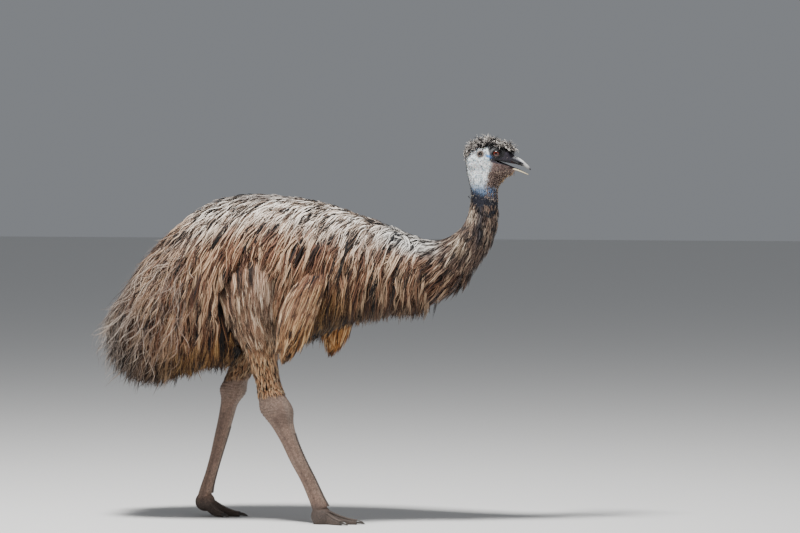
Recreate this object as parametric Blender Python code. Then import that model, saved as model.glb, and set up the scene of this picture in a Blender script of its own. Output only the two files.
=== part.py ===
"""A life-size emu, walking, with its drooping coat, short wings and scaly legs. Metres, +Z up, +X ahead."""

import math
import random

import bmesh
import bpy
from mathutils import Matrix, Vector

GAP = 0.0003
SEED = 7
SIDES = (("right", -1), ("left", 1))

# The trunk and neck under the coat are one tube, from the rump to the throat.
# A row: the point on the back, ahead and up, the point underneath, and the half width between them.
TRUNK_ROWS = (
    (-0.580, 0.635, -0.580, 0.612, 0.010),
    (-0.568, 0.715, -0.555, 0.572, 0.060),
    (-0.508, 0.817, -0.490, 0.546, 0.108),
    (-0.415, 0.907, -0.405, 0.540, 0.145),
    (-0.315, 0.968, -0.315, 0.540, 0.169),
    (-0.210, 1.002, -0.210, 0.542, 0.184),
    (-0.110, 1.003, -0.110, 0.552, 0.188),
    (-0.010, 0.992, -0.010, 0.580, 0.178),
    (0.080, 0.969, 0.080, 0.620, 0.158),
    (0.170, 0.938, 0.170, 0.660, 0.130),
    (0.260, 0.906, 0.260, 0.690, 0.103),
    (0.325, 0.881, 0.340, 0.706, 0.085),
    (0.378, 0.868, 0.402, 0.728, 0.070),
    (0.418, 0.870, 0.462, 0.760, 0.060),
    (0.450, 0.890, 0.505, 0.802, 0.052),
    (0.477, 0.918, 0.542, 0.846, 0.046),
    (0.492, 0.948, 0.566, 0.893, 0.0415),
    (0.499, 0.977, 0.579, 0.938, 0.0385),
    (0.502, 1.005, 0.583, 0.978, 0.0370),
    (0.501, 1.030, 0.581, 1.015, 0.0365),
    (0.496, 1.057, 0.583, 1.042, 0.0375),
    (0.488, 1.090, 0.600, 1.066, 0.0375),
    (0.488, 1.120, 0.612, 1.090, 0.0360),
)
TRUNK_STEPS = 28
TRUNK_SIDES = 16

# The coat's hem: how low its tips hang, ahead and up.
HEM = (
    (-0.700, 0.540), (-0.660, 0.455), (-0.590, 0.437), (-0.500, 0.424), (-0.430, 0.450), (-0.290, 0.480),
    (-0.245, 0.500), (-0.215, 0.600), (-0.100, 0.590), (-0.040, 0.560), (0.040, 0.605), (0.110, 0.630),
    (0.260, 0.650), (0.345, 0.648), (0.412, 0.668), (0.485, 0.712), (0.520, 0.780), (0.600, 0.860),
)
# Tiers of locks: degrees round from the ridge, length, half width and lift of the tips.
TRUNK_TIERS = (
    (12, 0.195, 0.048, 0.030),
    (39, 0.205, 0.060, 0.025),
    (66, 0.215, 0.062, 0.022),
    (93, 0.240, 0.060, 0.018),
    (118, 0.200, 0.054, 0.012),
)
# Along the trunk, a tier's first place, the spacing of its locks and how many it has.
TRUNK_STATIONS = (2.8, 1.34, 6)
# A lie: how much a lock runs backwards, how much down, and how much it sags at each bend.
TRUNK_LIE = (0.45, 1.0, 0.10)
# Locks over the rump: place along the trunk, degrees round from the ridge, length and lift of the tips.
RUMP_LOCKS = (
    (1.25, 0, 0.235, 0.105),
    (1.20, 55, 0.225, 0.090),
    (1.15, 110, 0.190, 0.070),
    (2.00, 22, 0.230, 0.052),
    (1.95, 64, 0.230, 0.046),
    (1.95, 106, 0.215, 0.040),
    (1.95, 148, 0.190, 0.030),
)
RUMP_HALF_WIDTH = 0.055
RUMP_LIE = (1.0, 0.4, 0.1)
NECK_TIERS = (
    (0, 0.095, 0.026, 0.012),
    (52, 0.100, 0.030, 0.012),
    (104, 0.100, 0.032, 0.014),
    (155, 0.095, 0.030, 0.020),
)
NECK_STATIONS = (11.3, 1.2, 5)
NECK_THINNING = 0.065
NECK_LIE = (1.0, 0.6, 0.15)
THIGH_TIERS = (
    (0, 0.080, 0.024, 0.006),
    (72, 0.085, 0.026, 0.006),
    (144, 0.080, 0.024, 0.006),
)
THIGH_STATIONS = (4.3, 0.8, 3)
THIGH_THINNING = 0.13
THIGH_LIE = (-1.0, 0.1, 0.05)
# Locks of a wing: place down it and degrees round from its front edge.
WING_LOCKS = ((1.7, 90), (2.6, 55), (2.6, 125), (3.5, 90), (4.3, 55), (4.3, 125))
WING_LOCK = (0.120, 0.024, 0.006)
WING_LIE = (-1.0, 0.2, 0.1)
WING_HEM = 0.521
# Tufts of the crest: the first and last place along the head, rows, length and how far they lean ahead.
CREST = (
    (2.1, 4.3, 4, 0.038, -0.15),
    (4.8, 5.3, 1, 0.026, 0.00),
    (6.0, 6.9, 2, 0.040, 0.10),
)
CREST_SPREAD = 34
TUFT_HALF_WIDTH = 0.0135
TUFT_CURL = 0.25
# How wide a lock is along its length, from root to tip.
LONG_LOCK = (0.62, 0.97, 1.00, 0.66)
SHORT_LOCK = (0.70, 1.00, 0.66)
THICKNESS = 0.0010
THICKNESS_SHARE = 0.21
SINK = 0.0020
DRAPE = 2.5
LIFT_SHAPE = 0.9
TURN_SHARE = 0.7
# How far places, angles, ways and sizes stray from the even ones.
STRAY_PLACE = 0.1
STRAY_DEGREES = 5
STRAY_TURN = 0.12
STRAY_SIZE = 0.08
# How much of a lock's way out of the surface is taken away, and how steep the surface may be for that.
HUG = 0.8
HUG_ABOVE = 0.45
# On the ridge a lock runs straight back, and this share of the slope turns it fully down.
RIDGE_SLOPE = 1.6
LEAST_STEP = 0.25

# The head, from the back of the skull to the bill.
HEAD_ROWS = (
    (0.4850, 1.136, 0.4860, 1.118, 0.008),
    (0.4900, 1.150, 0.4910, 1.096, 0.024),
    (0.5050, 1.163, 0.5060, 1.076, 0.034),
    (0.5300, 1.173, 0.5330, 1.062, 0.038),
    (0.5600, 1.176, 0.5630, 1.056, 0.0385),
    (0.5900, 1.172, 0.5900, 1.063, 0.036),
    (0.6120, 1.162, 0.6120, 1.077, 0.029),
    (0.6270, 1.148, 0.6310, 1.085, 0.021),
    (0.6370, 1.136, 0.6420, 1.091, 0.013),
)
UPPER_BILL_ROWS = (
    (0.6060, 1.1430, 0.6050, 1.1170, 0.0215),
    (0.6270, 1.1400, 0.6270, 1.1150, 0.0200),
    (0.6520, 1.1290, 0.6500, 1.1080, 0.0160),
    (0.6710, 1.1145, 0.6680, 1.1030, 0.0115),
    (0.6820, 1.1035, 0.6800, 1.0950, 0.0070),
    (0.6870, 1.0960, 0.6862, 1.0925, 0.0020),
)
LOWER_BILL_ROWS = (
    (0.6060, 1.1065, 0.6050, 1.0890, 0.0180),
    (0.6235, 1.1050, 0.6235, 1.0895, 0.0165),
    (0.6480, 1.0970, 0.6470, 1.0870, 0.0130),
    (0.6650, 1.0890, 0.6640, 1.0815, 0.0085),
    (0.6795, 1.0805, 0.6790, 1.0780, 0.0022),
)
GAPE = (0.562, 1.128)
MOUTH_ENDS = ((0.655, 1.1085), (0.655, 1.0930))
MOUTH_HALF_WIDTH = 0.050

EYE_RADIUS = 0.0125
EYE_PLACE = (0.585, 0.0270, 1.143)
LID_THICKNESS = 0.0020
EYE_OPENING = (0.0122, 0.0078)
EYE_OPENING_DEPTH = 0.020
EAR_PLACE = (0.535, 0.0360, 1.143)
EAR_PIT = (0.0065, 0.0070, 0.0065)
NOSTRIL_PLACE = (0.658, 0.0150, 1.1135)
NOSTRIL_SIZE = (0.0060, 0.0030, 0.0014)

# A leg, from the thigh inside the trunk to the ball of the foot.
# A row: the point in front, the point behind, half width and distance from the middle plane.
RIGHT_LEG_ROWS = (
    (-0.130, 0.767, -0.180, 0.767, 0.012, 0.110),
    (-0.085, 0.748, -0.230, 0.748, 0.058, 0.113),
    (-0.078, 0.690, -0.245, 0.690, 0.068, 0.118),
    (-0.086, 0.630, -0.230, 0.630, 0.063, 0.118),
    (-0.093, 0.565, -0.201, 0.565, 0.051, 0.113),
    (-0.094, 0.500, -0.171, 0.495, 0.039, 0.106),
    (-0.084, 0.437, -0.153, 0.430, 0.033, 0.101),
    (-0.068, 0.400, -0.149, 0.386, 0.031, 0.099),
    (-0.050, 0.368, -0.141, 0.352, 0.031, 0.098),
    (-0.044, 0.336, -0.124, 0.322, 0.030, 0.098),
    (-0.038, 0.302, -0.103, 0.292, 0.025, 0.098),
    (-0.025, 0.257, -0.078, 0.250, 0.0215, 0.098),
    (0.000, 0.200, -0.049, 0.191, 0.0190, 0.098),
    (0.030, 0.142, -0.016, 0.132, 0.0180, 0.098),
    (0.055, 0.090, 0.007, 0.080, 0.0200, 0.098),
    (0.072, 0.058, 0.021, 0.044, 0.0240, 0.098),
)
LEFT_LEG_ROWS = (
    (-0.105, 0.772, -0.150, 0.765, 0.012, 0.110),
    (-0.060, 0.752, -0.210, 0.738, 0.058, 0.113),
    (-0.076, 0.697, -0.236, 0.680, 0.067, 0.118),
    (-0.116, 0.642, -0.250, 0.620, 0.061, 0.118),
    (-0.158, 0.582, -0.262, 0.558, 0.050, 0.113),
    (-0.191, 0.516, -0.277, 0.498, 0.039, 0.106),
    (-0.222, 0.454, -0.303, 0.440, 0.033, 0.101),
    (-0.240, 0.416, -0.317, 0.406, 0.032, 0.099),
    (-0.247, 0.384, -0.318, 0.375, 0.031, 0.098),
    (-0.267, 0.352, -0.322, 0.346, 0.029, 0.098),
    (-0.280, 0.310, -0.330, 0.303, 0.025, 0.098),
    (-0.295, 0.258, -0.342, 0.251, 0.0215, 0.098),
    (-0.313, 0.201, -0.355, 0.194, 0.0190, 0.098),
    (-0.330, 0.145, -0.371, 0.138, 0.0180, 0.098),
    (-0.342, 0.100, -0.388, 0.090, 0.0205, 0.098),
    (-0.346, 0.076, -0.397, 0.060, 0.0240, 0.098),
)
LEG_SCUTES = 28
SCUTE_RISE = 0.0014
LEG_STEPS = 24
LEG_SPREAD = 0.098

# A foot: how far ahead its ball is, the height of the ball and the height of the sole under it.
FEET = {"right": (0.048, 0.045, -0.003), "left": (-0.372, 0.063, 0.022)}
# A toe: its name, heading from straight ahead, outwards, length without the claw and half thickness.
TOES = (
    ("inner", math.radians(-29), 0.074, 0.0105),
    ("middle", math.radians(-1), 0.112, 0.0130),
    ("outer", math.radians(27), 0.080, 0.0105),
)
CLAW_LENGTH = 0.027
TOE_TIP_RISE = 0.0155
SOLE_DEPTH = 0.0030
TOE_ROOT_RISE = 0.010
TOE_SCUTE_RISE = 0.0012
BALL_RADII = (0.032, 0.027)
# A claw: the share of its length, its top, its underside and its half width.
CLAW_RINGS = (
    (0.00, 0.0130, 0.0030, 0.0062),
    (0.35, 0.0135, 0.0028, 0.0055),
    (0.75, 0.0090, 0.0018, 0.0035),
    (1.00, 0.0030, 0.0016, 0.0008),
)

# The right wing, and how far the left one swings ahead for each metre below its shoulder.
WING_ROWS = (
    (0.072, 0.812, 0.048, 0.812, 0.008, 0.130),
    (0.084, 0.780, 0.016, 0.784, 0.018, 0.158),
    (0.074, 0.722, -0.018, 0.726, 0.020, 0.194),
    (0.054, 0.655, -0.044, 0.660, 0.020, 0.212),
    (0.030, 0.595, -0.053, 0.600, 0.016, 0.218),
    (0.000, 0.552, -0.049, 0.554, 0.010, 0.220),
    (-0.026, 0.527, -0.040, 0.525, 0.003, 0.219),
)
LEFT_WING_SWING = 0.15

# Where the nodes part: a point on the cut and the way to the node nearer the head or foot.
TAIL_CUT = ((-0.385, 0.0, 0.750), (-0.95, 0.0, 0.31))
NECK_CUT = ((0.300, 0.0, 0.780), (1.0, 0.0, 0.0))
BEND_CUT = ((0.462, 0.0, 0.820), (0.85, 0.0, 0.52))
THROAT_CUT = ((0.545, 0.0, 0.975), (-0.10, 0.0, 0.99))
HEAD_CUT = ((0.583, 0.0, 1.0555), (0.30, 0.0, 0.954))
ANKLE_CUTS = {
    "right": ((-0.108, 0.0, 0.392), (0.25, 0.0, -0.97)),
    "left": ((-0.279, 0.0, 0.408), (-0.20, 0.0, -0.98)),
}
FOOT_CUTS = {
    "right": ((0.040, 0.0, 0.066), (0.40, 0.0, -0.92)),
    "left": ((-0.369, 0.0, 0.084), (-0.20, 0.0, -0.98)),
}


def between(rows, place):
    """The row at a place counted in rows, on a smooth curve through all of them."""
    last = len(rows) - 1
    first = min(int(place), last - 1)
    t = place - first
    near = [rows[max(0, min(last, first + k))] for k in (-1, 0, 1, 2)]
    weights = (
        (-t + 2 * t * t - t ** 3) / 2,
        (2 - 5 * t * t + 3 * t ** 3) / 2,
        (t + 4 * t * t - 3 * t ** 3) / 2,
        (t ** 3 - t * t) / 2,
    )
    return [sum(w * row[k] for w, row in zip(weights, near)) for k in range(len(rows[0]))]


class Tube:
    """A limb or trunk whose rings each lie between a point in front and a point behind."""

    def __init__(self, rows, side=1, origin=(0.0, 0.0), heading=0.0):
        self.rows = [(*row[:5], side * row[5] if len(row) > 5 else 0.0) for row in rows]
        self.origin = origin
        self.heading = heading
        self.rings = []

    def turned(self, ahead, across, height):
        cos, sin = math.cos(self.heading), math.sin(self.heading)
        x, y = self.origin
        return Vector((x + ahead * cos - across * sin, y + ahead * sin + across * cos, height))

    def point(self, place, angle, lift=0.0):
        """The surface point at an angle round the ring, from its first point towards the left."""
        x1, z1, x2, z2, half_width, across = between(self.rows, place)
        reach = math.hypot(x1 - x2, z1 - z2) / 2
        grow = (reach + lift) / reach * math.cos(angle)
        ahead = (x1 + x2) / 2 + (x1 - x2) / 2 * grow
        height = (z1 + z2) / 2 + (z1 - z2) / 2 * grow
        return self.turned(ahead, across + math.sin(angle) * (half_width + lift), height)

    def centre(self, place):
        x1, z1, x2, z2, _, across = between(self.rows, place)
        return self.turned((x1 + x2) / 2, across, (z1 + z2) / 2)

    def run(self, place):
        """The way that the tube runs at a place."""
        last = len(self.rows) - 1
        return (self.centre(min(place + 0.2, last)) - self.centre(max(place - 0.2, 0))).normalized()

    def outside(self, point):
        """How far outside the tube a point is, and the way out of the surface there."""
        if not self.rings:
            count = 6 * (len(self.rows) - 1)
            for place in [(len(self.rows) - 1) * k / count for k in range(count + 1)]:
                middle = self.centre(place)
                up, left = self.point(place, 0) - middle, self.point(place, math.pi / 2) - middle
                self.rings.append((place, middle, up, left))

        def apart(ring):
            away = point - ring[1]
            return abs(away.dot(ring[2].cross(ring[3]).normalized())) + 0.15 * away.length

        place, middle, up, left = min(self.rings, key=apart)
        away = point - middle
        angle = math.atan2(away.dot(left) / left.length_squared, away.dot(up) / up.length_squared)
        near = max(0.05, min(place, len(self.rows) - 1.05))
        forwards = self.point(near + 0.05, angle) - self.point(near - 0.05, angle)
        round_it = self.point(near, angle + 0.05) - self.point(near, angle - 0.05)
        out = round_it.cross(forwards).normalized()
        surface = self.point(place, angle)
        if out.dot(surface - middle) < 0:
            out = -out
        return (point - surface).dot(out), out

    def solid(self, name, steps, sides, lift=0.0, relief=None):
        """The closed solid, with every face and both ends moved out by the lift."""
        shape = bmesh.new()
        last = len(self.rows) - 1
        rings = []
        for step in range(steps + 1):
            place = last * step / steps
            ring = []
            for k in range(sides):
                angle = math.tau * k / sides
                rise = relief(step, angle) if relief else 0.0
                ring.append(shape.verts.new(self.point(place, angle, lift + rise)))
            rings.append(ring)
        start = (self.centre(0) - self.centre(0.1)).normalized() * lift
        end = (self.centre(last) - self.centre(last - 0.1)).normalized() * lift
        bmesh.ops.translate(shape, vec=start, verts=rings[0])
        bmesh.ops.translate(shape, vec=end, verts=rings[-1])
        for near, far in zip(rings, rings[1:]):
            for k in range(sides):
                after = (k + 1) % sides
                shape.faces.new((near[k], far[k], far[after]))
                shape.faces.new((near[k], far[after], near[after]))
        shape.faces.new(rings[0])
        shape.faces.new(reversed(rings[-1]))
        return solid_from(name, shape)


def solid_from(name, shape):
    shape.normal_update()
    bmesh.ops.recalc_face_normals(shape, faces=shape.faces)
    mesh = bpy.data.meshes.new(name)
    shape.to_mesh(mesh)
    shape.free()
    made = bpy.data.objects.new(name, mesh)
    bpy.context.scene.collection.objects.link(made)
    return made


def ball(name, centre, radii, segments=12, rings=7):
    shape = bmesh.new()
    bmesh.ops.create_uvsphere(shape, u_segments=segments, v_segments=rings, radius=1.0)
    bmesh.ops.scale(shape, vec=radii, verts=shape.verts)
    bmesh.ops.translate(shape, vec=centre, verts=shape.verts)
    return solid_from(name, shape)


def pin(name, centre, radii, length, segments=10):
    """An oval pin that lies across the head."""
    shape = bmesh.new()
    bmesh.ops.create_cone(
        shape, cap_ends=True, segments=segments, radius1=1.0, radius2=1.0, depth=1.0
    )
    for vert in shape.verts:
        x, y, z = vert.co
        vert.co = (centre[0] + x * radii[0], centre[1] + z * length, centre[2] + y * radii[1])
    return solid_from(name, shape)


def wedge(name, corners, half_width):
    """A prism across the middle plane, with its corners given ahead and up."""
    shape = bmesh.new()
    right = [shape.verts.new((x, -half_width, z)) for x, z in corners]
    left = [shape.verts.new((x, half_width, z)) for x, z in corners]
    shape.faces.new(right)
    shape.faces.new(reversed(left))
    for k in range(len(corners)):
        after = (k + 1) % len(corners)
        shape.faces.new((right[k], left[k], left[after], right[after]))
    return solid_from(name, shape)


def combined(target, others, operation, solver="EXACT"):
    """Joins the others to the target, or cuts them from it, and removes them.

    The manifold solver is for the coated nodes, which the exact one leaves with open edges.
    """
    tools = bpy.data.collections.new("tools")
    bpy.context.scene.collection.children.link(tools)
    for other in others:
        bpy.context.scene.collection.objects.unlink(other)
        tools.objects.link(other)
    step = target.modifiers.new(operation, "BOOLEAN")
    step.operation = operation
    step.operand_type = "COLLECTION"
    step.collection = tools
    step.solver = solver
    evaluated = target.evaluated_get(bpy.context.evaluated_depsgraph_get())
    result = bpy.data.meshes.new_from_object(evaluated)
    target.modifiers.clear()
    target.data = result
    for other in others:
        bpy.data.objects.remove(other)
    bpy.data.collections.remove(tools)
    keep_largest(target)
    return target


def keep_largest(made):
    """Drops every closed surface of the object but its largest, and those it meets in a point alone."""
    shape = bmesh.new()
    shape.from_mesh(made.data)
    unseen = set(shape.faces)
    surfaces = []
    while unseen:
        surface = set()
        front = [unseen.pop()]
        while front:
            face = front.pop()
            surface.add(face)
            for edge in face.edges:
                for other in edge.link_faces:
                    if other in unseen:
                        unseen.remove(other)
                        front.append(other)
        surfaces.append(surface)
    largest = max(surfaces, key=len)
    bmesh.ops.delete(shape, geom=[face for face in shape.faces if face not in largest], context="FACES")
    shape.to_mesh(made.data)
    shape.free()


def slab(plane, size=4.0):
    """A block that fills the space behind a plane, but for half the gap between nodes."""
    point, normal = plane
    normal = Vector(normal).normalized()
    shape = bmesh.new()
    bmesh.ops.create_cube(shape, size=size)
    bmesh.ops.translate(shape, vec=(0, 0, -size / 2), verts=shape.verts)
    turn = Vector((0, 0, 1)).rotation_difference(normal).to_matrix().to_4x4()
    bmesh.ops.transform(shape, matrix=turn, verts=shape.verts)
    bmesh.ops.translate(shape, vec=Vector(point) + normal * GAP / 2, verts=shape.verts)
    return solid_from("slab", shape)


def behind(plane):
    """The same plane, with its other side kept."""
    point, normal = plane
    return point, tuple(-part for part in normal)


def kept(made, *planes, solver="EXACT"):
    return combined(made, [slab(plane) for plane in planes], "DIFFERENCE", solver)


def material(name, colour, roughness):
    made = bpy.data.materials.new(name)
    made.use_nodes = True
    shader = made.node_tree.nodes["Principled BSDF"]
    shader.inputs["Base Color"].default_value = (*colour, 1.0)
    shader.inputs["Roughness"].default_value = roughness
    shader.inputs["Metallic"].default_value = 0.0
    return made


def finished(made, finish, parent):
    made.data.materials.clear()
    made.data.materials.append(finish)
    made.data.shade_smooth()
    made.data.set_sharp_from_angle(angle=math.radians(40))
    made.parent = parent


def hem(ahead):
    """The height of the coat's hem at a place ahead."""
    for (x1, z1), (x2, z2) in zip(HEM, HEM[1:]):
        if ahead <= x2:
            return z1 + (z2 - z1) * max(0.0, ahead - x1) / (x2 - x1)
    return HEM[-1][1]


def lock(path, widths, thickness, lift=0.0):
    """A flat lock along a path of points and their outward ways, with a low ridge and a pointed tip."""
    shape = bmesh.new()
    rings = []
    for k, width in enumerate(widths):
        point, out = path[k]
        run = (path[k + 1][0] - path[max(0, k - 1)][0]).normalized()
        side = run.cross(out).normalized()
        out = side.cross(run).normalized()
        edge = point - out * (DRAPE * width * width + thickness / 3 + lift)
        corners = (
            edge - side * (width + 3 * lift),
            point + out * (thickness * 2 / 3 + 2 * lift),
            edge + side * (width + 3 * lift),
        )
        rings.append([shape.verts.new(corner) for corner in corners])
    reach = (path[-1][0] - path[-2][0]).normalized()
    tip = shape.verts.new(path[-1][0] + reach * 4 * lift)
    for near, far in zip(rings, rings[1:]):
        for k in range(3):
            after = (k + 1) % 3
            shape.faces.new((near[k], far[k], far[after]))
            shape.faces.new((near[k], far[after], near[after]))
    for k in range(3):
        shape.faces.new((rings[-1][k], tip, rings[-1][(k + 1) % 3]))
    shape.faces.new(rings[0])
    return solid_from("lock", shape)


def grown_lock(tube, place, angle, size, lie, draw, form=LONG_LOCK, lowest=None, lift=0.0):
    """A lock rooted on a tube, which follows the lie of the coat and sags towards its tip.

    The size is its length, half width and tip's lift, and the lie weighs back, down and sag.
    """
    length, half_width, tip_lift = (part * (1 + draw.uniform(-STRAY_SIZE, STRAY_SIZE)) for part in size)
    back, down, sag = lie
    thickness = THICKNESS + THICKNESS_SHARE * half_width
    point = tube.point(place, angle, -thickness - SINK)
    _, out = tube.outside(tube.point(place, angle, 0.01))
    fall = Vector((0, 0, -1))
    if out.z > 0:
        fall -= out * fall.dot(out)
    slope = min(1.0, RIDGE_SLOPE * fall.length) ** 1.5
    way = -tube.run(place) * back
    if fall.length > 1e-4:
        way += fall.normalized() * down * slope
    way = (way - out * way.dot(out) * HUG).normalized()
    way.rotate(Matrix.Rotation(draw.uniform(-STRAY_TURN, STRAY_TURN), 3, out))
    path = [(point.copy(), out)]
    facing = out
    steps = len(form)
    for k in range(1, steps + 1):
        step = way * (length / steps)
        if lowest is not None and step.z < 0 and point.z + step.z < lowest(point.x):
            step *= max(LEAST_STEP, (point.z - lowest(point.x)) / -step.z)
        point = point + step
        clear = thickness / 2 + tip_lift * (k / steps) ** LIFT_SHAPE
        away, out = tube.outside(point)
        if away < clear:
            point = point + out * (clear - away)
        facing = (facing + out * TURN_SHARE).normalized()
        path.append((point.copy(), facing))
        if way.dot(out) > 0 and out.z > HUG_ABOVE:
            way -= out * way.dot(out) * HUG
        way = (way + Vector((0, 0, -sag))).normalized()
    return lock(path, [half_width * share for share in form], thickness, lift)


def strayed(draw, degrees):
    """An angle near the even one."""
    return math.radians(degrees + draw.uniform(-STRAY_DEGREES, STRAY_DEGREES))


def places(stations, tier):
    """The places of a tier's locks, where each second tier sits between the others."""
    first, spacing, count = stations
    return [first + spacing * (station + 0.5 * (tier % 2)) for station in range(count)]


def trunk_locks(trunk):
    """The coat of the trunk and tail: tiers of locks, each over the roots of the next."""
    draw = random.Random(SEED)
    made = []
    for tier, (degrees, *size) in enumerate(TRUNK_TIERS):
        form = LONG_LOCK if 0 < tier < len(TRUNK_TIERS) - 1 else SHORT_LOCK
        for place in places(TRUNK_STATIONS, tier):
            for side in (-1, 1):
                near = place + draw.uniform(-STRAY_PLACE, STRAY_PLACE)
                angle = side * strayed(draw, degrees)
                made.append(grown_lock(trunk, near, angle, size, TRUNK_LIE, draw, form, hem))
    for place, degrees, length, tip_lift in RUMP_LOCKS:
        for side in (-1, 1) if degrees else (1,):
            size = (length, RUMP_HALF_WIDTH, tip_lift)
            angle = side * strayed(draw, degrees)
            made.append(grown_lock(trunk, place, angle, size, RUMP_LIE, draw, lowest=hem))
    return made


def neck_locks(trunk):
    """The coat of the neck, which thins towards the throat."""
    draw = random.Random(SEED + 1)
    made = []
    for tier, (degrees, *size) in enumerate(NECK_TIERS):
        for place in places(NECK_STATIONS, tier):
            thin = 1.0 - NECK_THINNING * (place - NECK_STATIONS[0])
            size_here = [part * thin for part in size]
            for side in (-1, 1) if degrees else (1,):
                angle = side * strayed(draw, degrees)
                made.append(grown_lock(trunk, place, angle, size_here, NECK_LIE, draw, SHORT_LOCK, hem))
    return made


def reaching(locks, plane):
    """Those locks that have a point on the kept side of a plane."""
    point, normal = Vector(plane[0]), Vector(plane[1])
    return [one for one in locks if any((vert.co - point).dot(normal) > 0 for vert in one.data.vertices)]


def copied(objects):
    made = []
    for one in objects:
        twin = one.copy()
        twin.data = one.data.copy()
        bpy.context.scene.collection.objects.link(twin)
        made.append(twin)
    return made


def coated(core, locks, *planes):
    """The part of the coated trunk between planes."""
    for plane in planes:
        locks = reaching(locks, plane)
    combined(core, copied(locks), "UNION", "MANIFOLD")
    return kept(core, *planes, solver="MANIFOLD")


def at_side(place, side):
    return (place[0], side * place[1], place[2])


def eye(name, side, lift=0.0):
    return ball(name, at_side(EYE_PLACE, side), [EYE_RADIUS + lift] * 3)


def wing(name, side, lift=0.0):
    """A short wing, hung from the shoulder, with locks down its outer side."""
    swing = LEFT_WING_SWING if side > 0 else 0.0
    top = WING_ROWS[0][1]
    rows = [
        (x1 + swing * (top - z1), z1, x2 + swing * (top - z2), z2, half_width, across)
        for x1, z1, x2, z2, half_width, across in WING_ROWS
    ]
    tube = Tube(rows, side)
    draw = random.Random(SEED + 2 + side)
    locks = [
        grown_lock(
            tube, place, side * math.radians(degrees), WING_LOCK, WING_LIE, draw, SHORT_LOCK,
            lowest=lambda ahead: WING_HEM, lift=lift,
        )
        for place, degrees in WING_LOCKS
    ]
    return combined(tube.solid(name, 10, 8, lift), locks, "UNION", "MANIFOLD")


def leg_tube(side):
    return Tube(LEFT_LEG_ROWS if side > 0 else RIGHT_LEG_ROWS, side)


def thigh(name, side_name, side, lift=0.0):
    """The feathered leg down to the ankle, with short locks that end over the bare shank."""
    tube = leg_tube(side)
    made = kept(tube.solid(name, LEG_STEPS, 10, lift), behind(ANKLE_CUTS[side_name]))
    draw = random.Random(SEED + 5 + side)
    locks = []
    for tier, (degrees, *size) in enumerate(THIGH_TIERS):
        for station, place in enumerate(places(THIGH_STATIONS, tier)):
            size_here = [part * (1.0 - THIGH_THINNING * station) for part in size]
            for turn in (-1, 1) if degrees else (1,):
                angle = turn * strayed(draw, degrees)
                one = grown_lock(tube, place, angle, size_here, THIGH_LIE, draw, SHORT_LOCK, lift=lift)
                locks.append(one)
    return combined(made, locks, "UNION", "MANIFOLD")


def tuft(tube, place, angle, length, lean, draw):
    """A short flat tuft that stands up from the head and curls over at its tip."""
    length *= draw.uniform(0.85, 1.15)
    half_width = TUFT_HALF_WIDTH * draw.uniform(0.9, 1.2)
    thickness = THICKNESS + THICKNESS_SHARE * half_width
    point = tube.point(place, angle, -thickness - SINK)
    _, out = tube.outside(tube.point(place, angle, 0.01))
    way = (out + Vector((lean + draw.uniform(-0.25, 0.25), 0, 0.5))).normalized()
    turn = draw.choice(SIDES)[1] * math.pi / 2 + draw.uniform(-0.6, 0.6)
    facing = Vector((math.cos(turn), math.sin(turn), 0))
    path = [(point.copy(), facing)]
    for _ in SHORT_LOCK:
        point = point + way * length / len(SHORT_LOCK)
        path.append((point.copy(), facing))
        way = (way - facing * TUFT_CURL).normalized()
    return lock(path, [half_width * share for share in SHORT_LOCK], thickness)


def crest(tube):
    """Curly tufts on the crown and forehead."""
    draw = random.Random(SEED + 9)
    made = []
    for first, last, rows, length, lean in CREST:
        for row in range(rows):
            for share in (-1.0, 0.0, 1.0) if row % 2 == 0 else (-0.5, 0.5):
                place = first + (last - first) * (row / (rows - 1) if rows > 1 else 0.5)
                angle = strayed(draw, CREST_SPREAD * share)
                near = place + draw.uniform(-STRAY_PLACE, STRAY_PLACE)
                made.append(tuft(tube, near, angle, length, lean, draw))
    return made


def upper_bill(name, lift=0.0):
    return Tube(UPPER_BILL_ROWS).solid(name, 8, 10, lift)


def lower_bill(name, lift=0.0):
    return Tube(LOWER_BILL_ROWS).solid(name, 6, 8, lift)


def head(trunk):
    """The head, with sockets for the eyes and bill, lids, ears and the line of the mouth."""
    tube = Tube(HEAD_ROWS)
    made = tube.solid("head", 12, 16)
    throat = kept(trunk.solid("throat", TRUNK_STEPS, TRUNK_SIDES), HEAD_CUT)
    lids = [ball("lid", at_side(EYE_PLACE, side), [EYE_RADIUS + LID_THICKNESS] * 3) for _, side in SIDES]
    combined(made, [throat, *lids, *crest(tube)], "UNION", "MANIFOLD")
    cutters = [slab(HEAD_CUT), upper_bill("socket", GAP), lower_bill("socket", GAP)]
    for _, side in SIDES:
        x, y, z = at_side(EYE_PLACE, side)
        opening = (x, y + side * EYE_RADIUS, z)
        cutters.append(pin("opening", opening, EYE_OPENING, EYE_OPENING_DEPTH))
        cutters.append(ball("pit", at_side(EAR_PLACE, side), EAR_PIT, 8, 5))
    cutters.append(wedge("mouth", (GAPE, *MOUTH_ENDS), MOUTH_HALF_WIDTH))
    combined(made, cutters, "DIFFERENCE", "MANIFOLD")
    return combined(made, [eye("socket", side, GAP) for _, side in SIDES], "DIFFERENCE", "MANIFOLD")


def shank(name, side_name, side):
    """The bare leg from the ankle to the ball of the foot, with its scutes in front."""

    def scute(step, angle):
        facing = max(0.0, math.cos(angle))
        return SCUTE_RISE * facing * (step % 2)

    made = leg_tube(side).solid(name, 2 * LEG_SCUTES, 8, relief=scute)
    return kept(made, ANKLE_CUTS[side_name], behind(FOOT_CUTS[side_name]))


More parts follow.
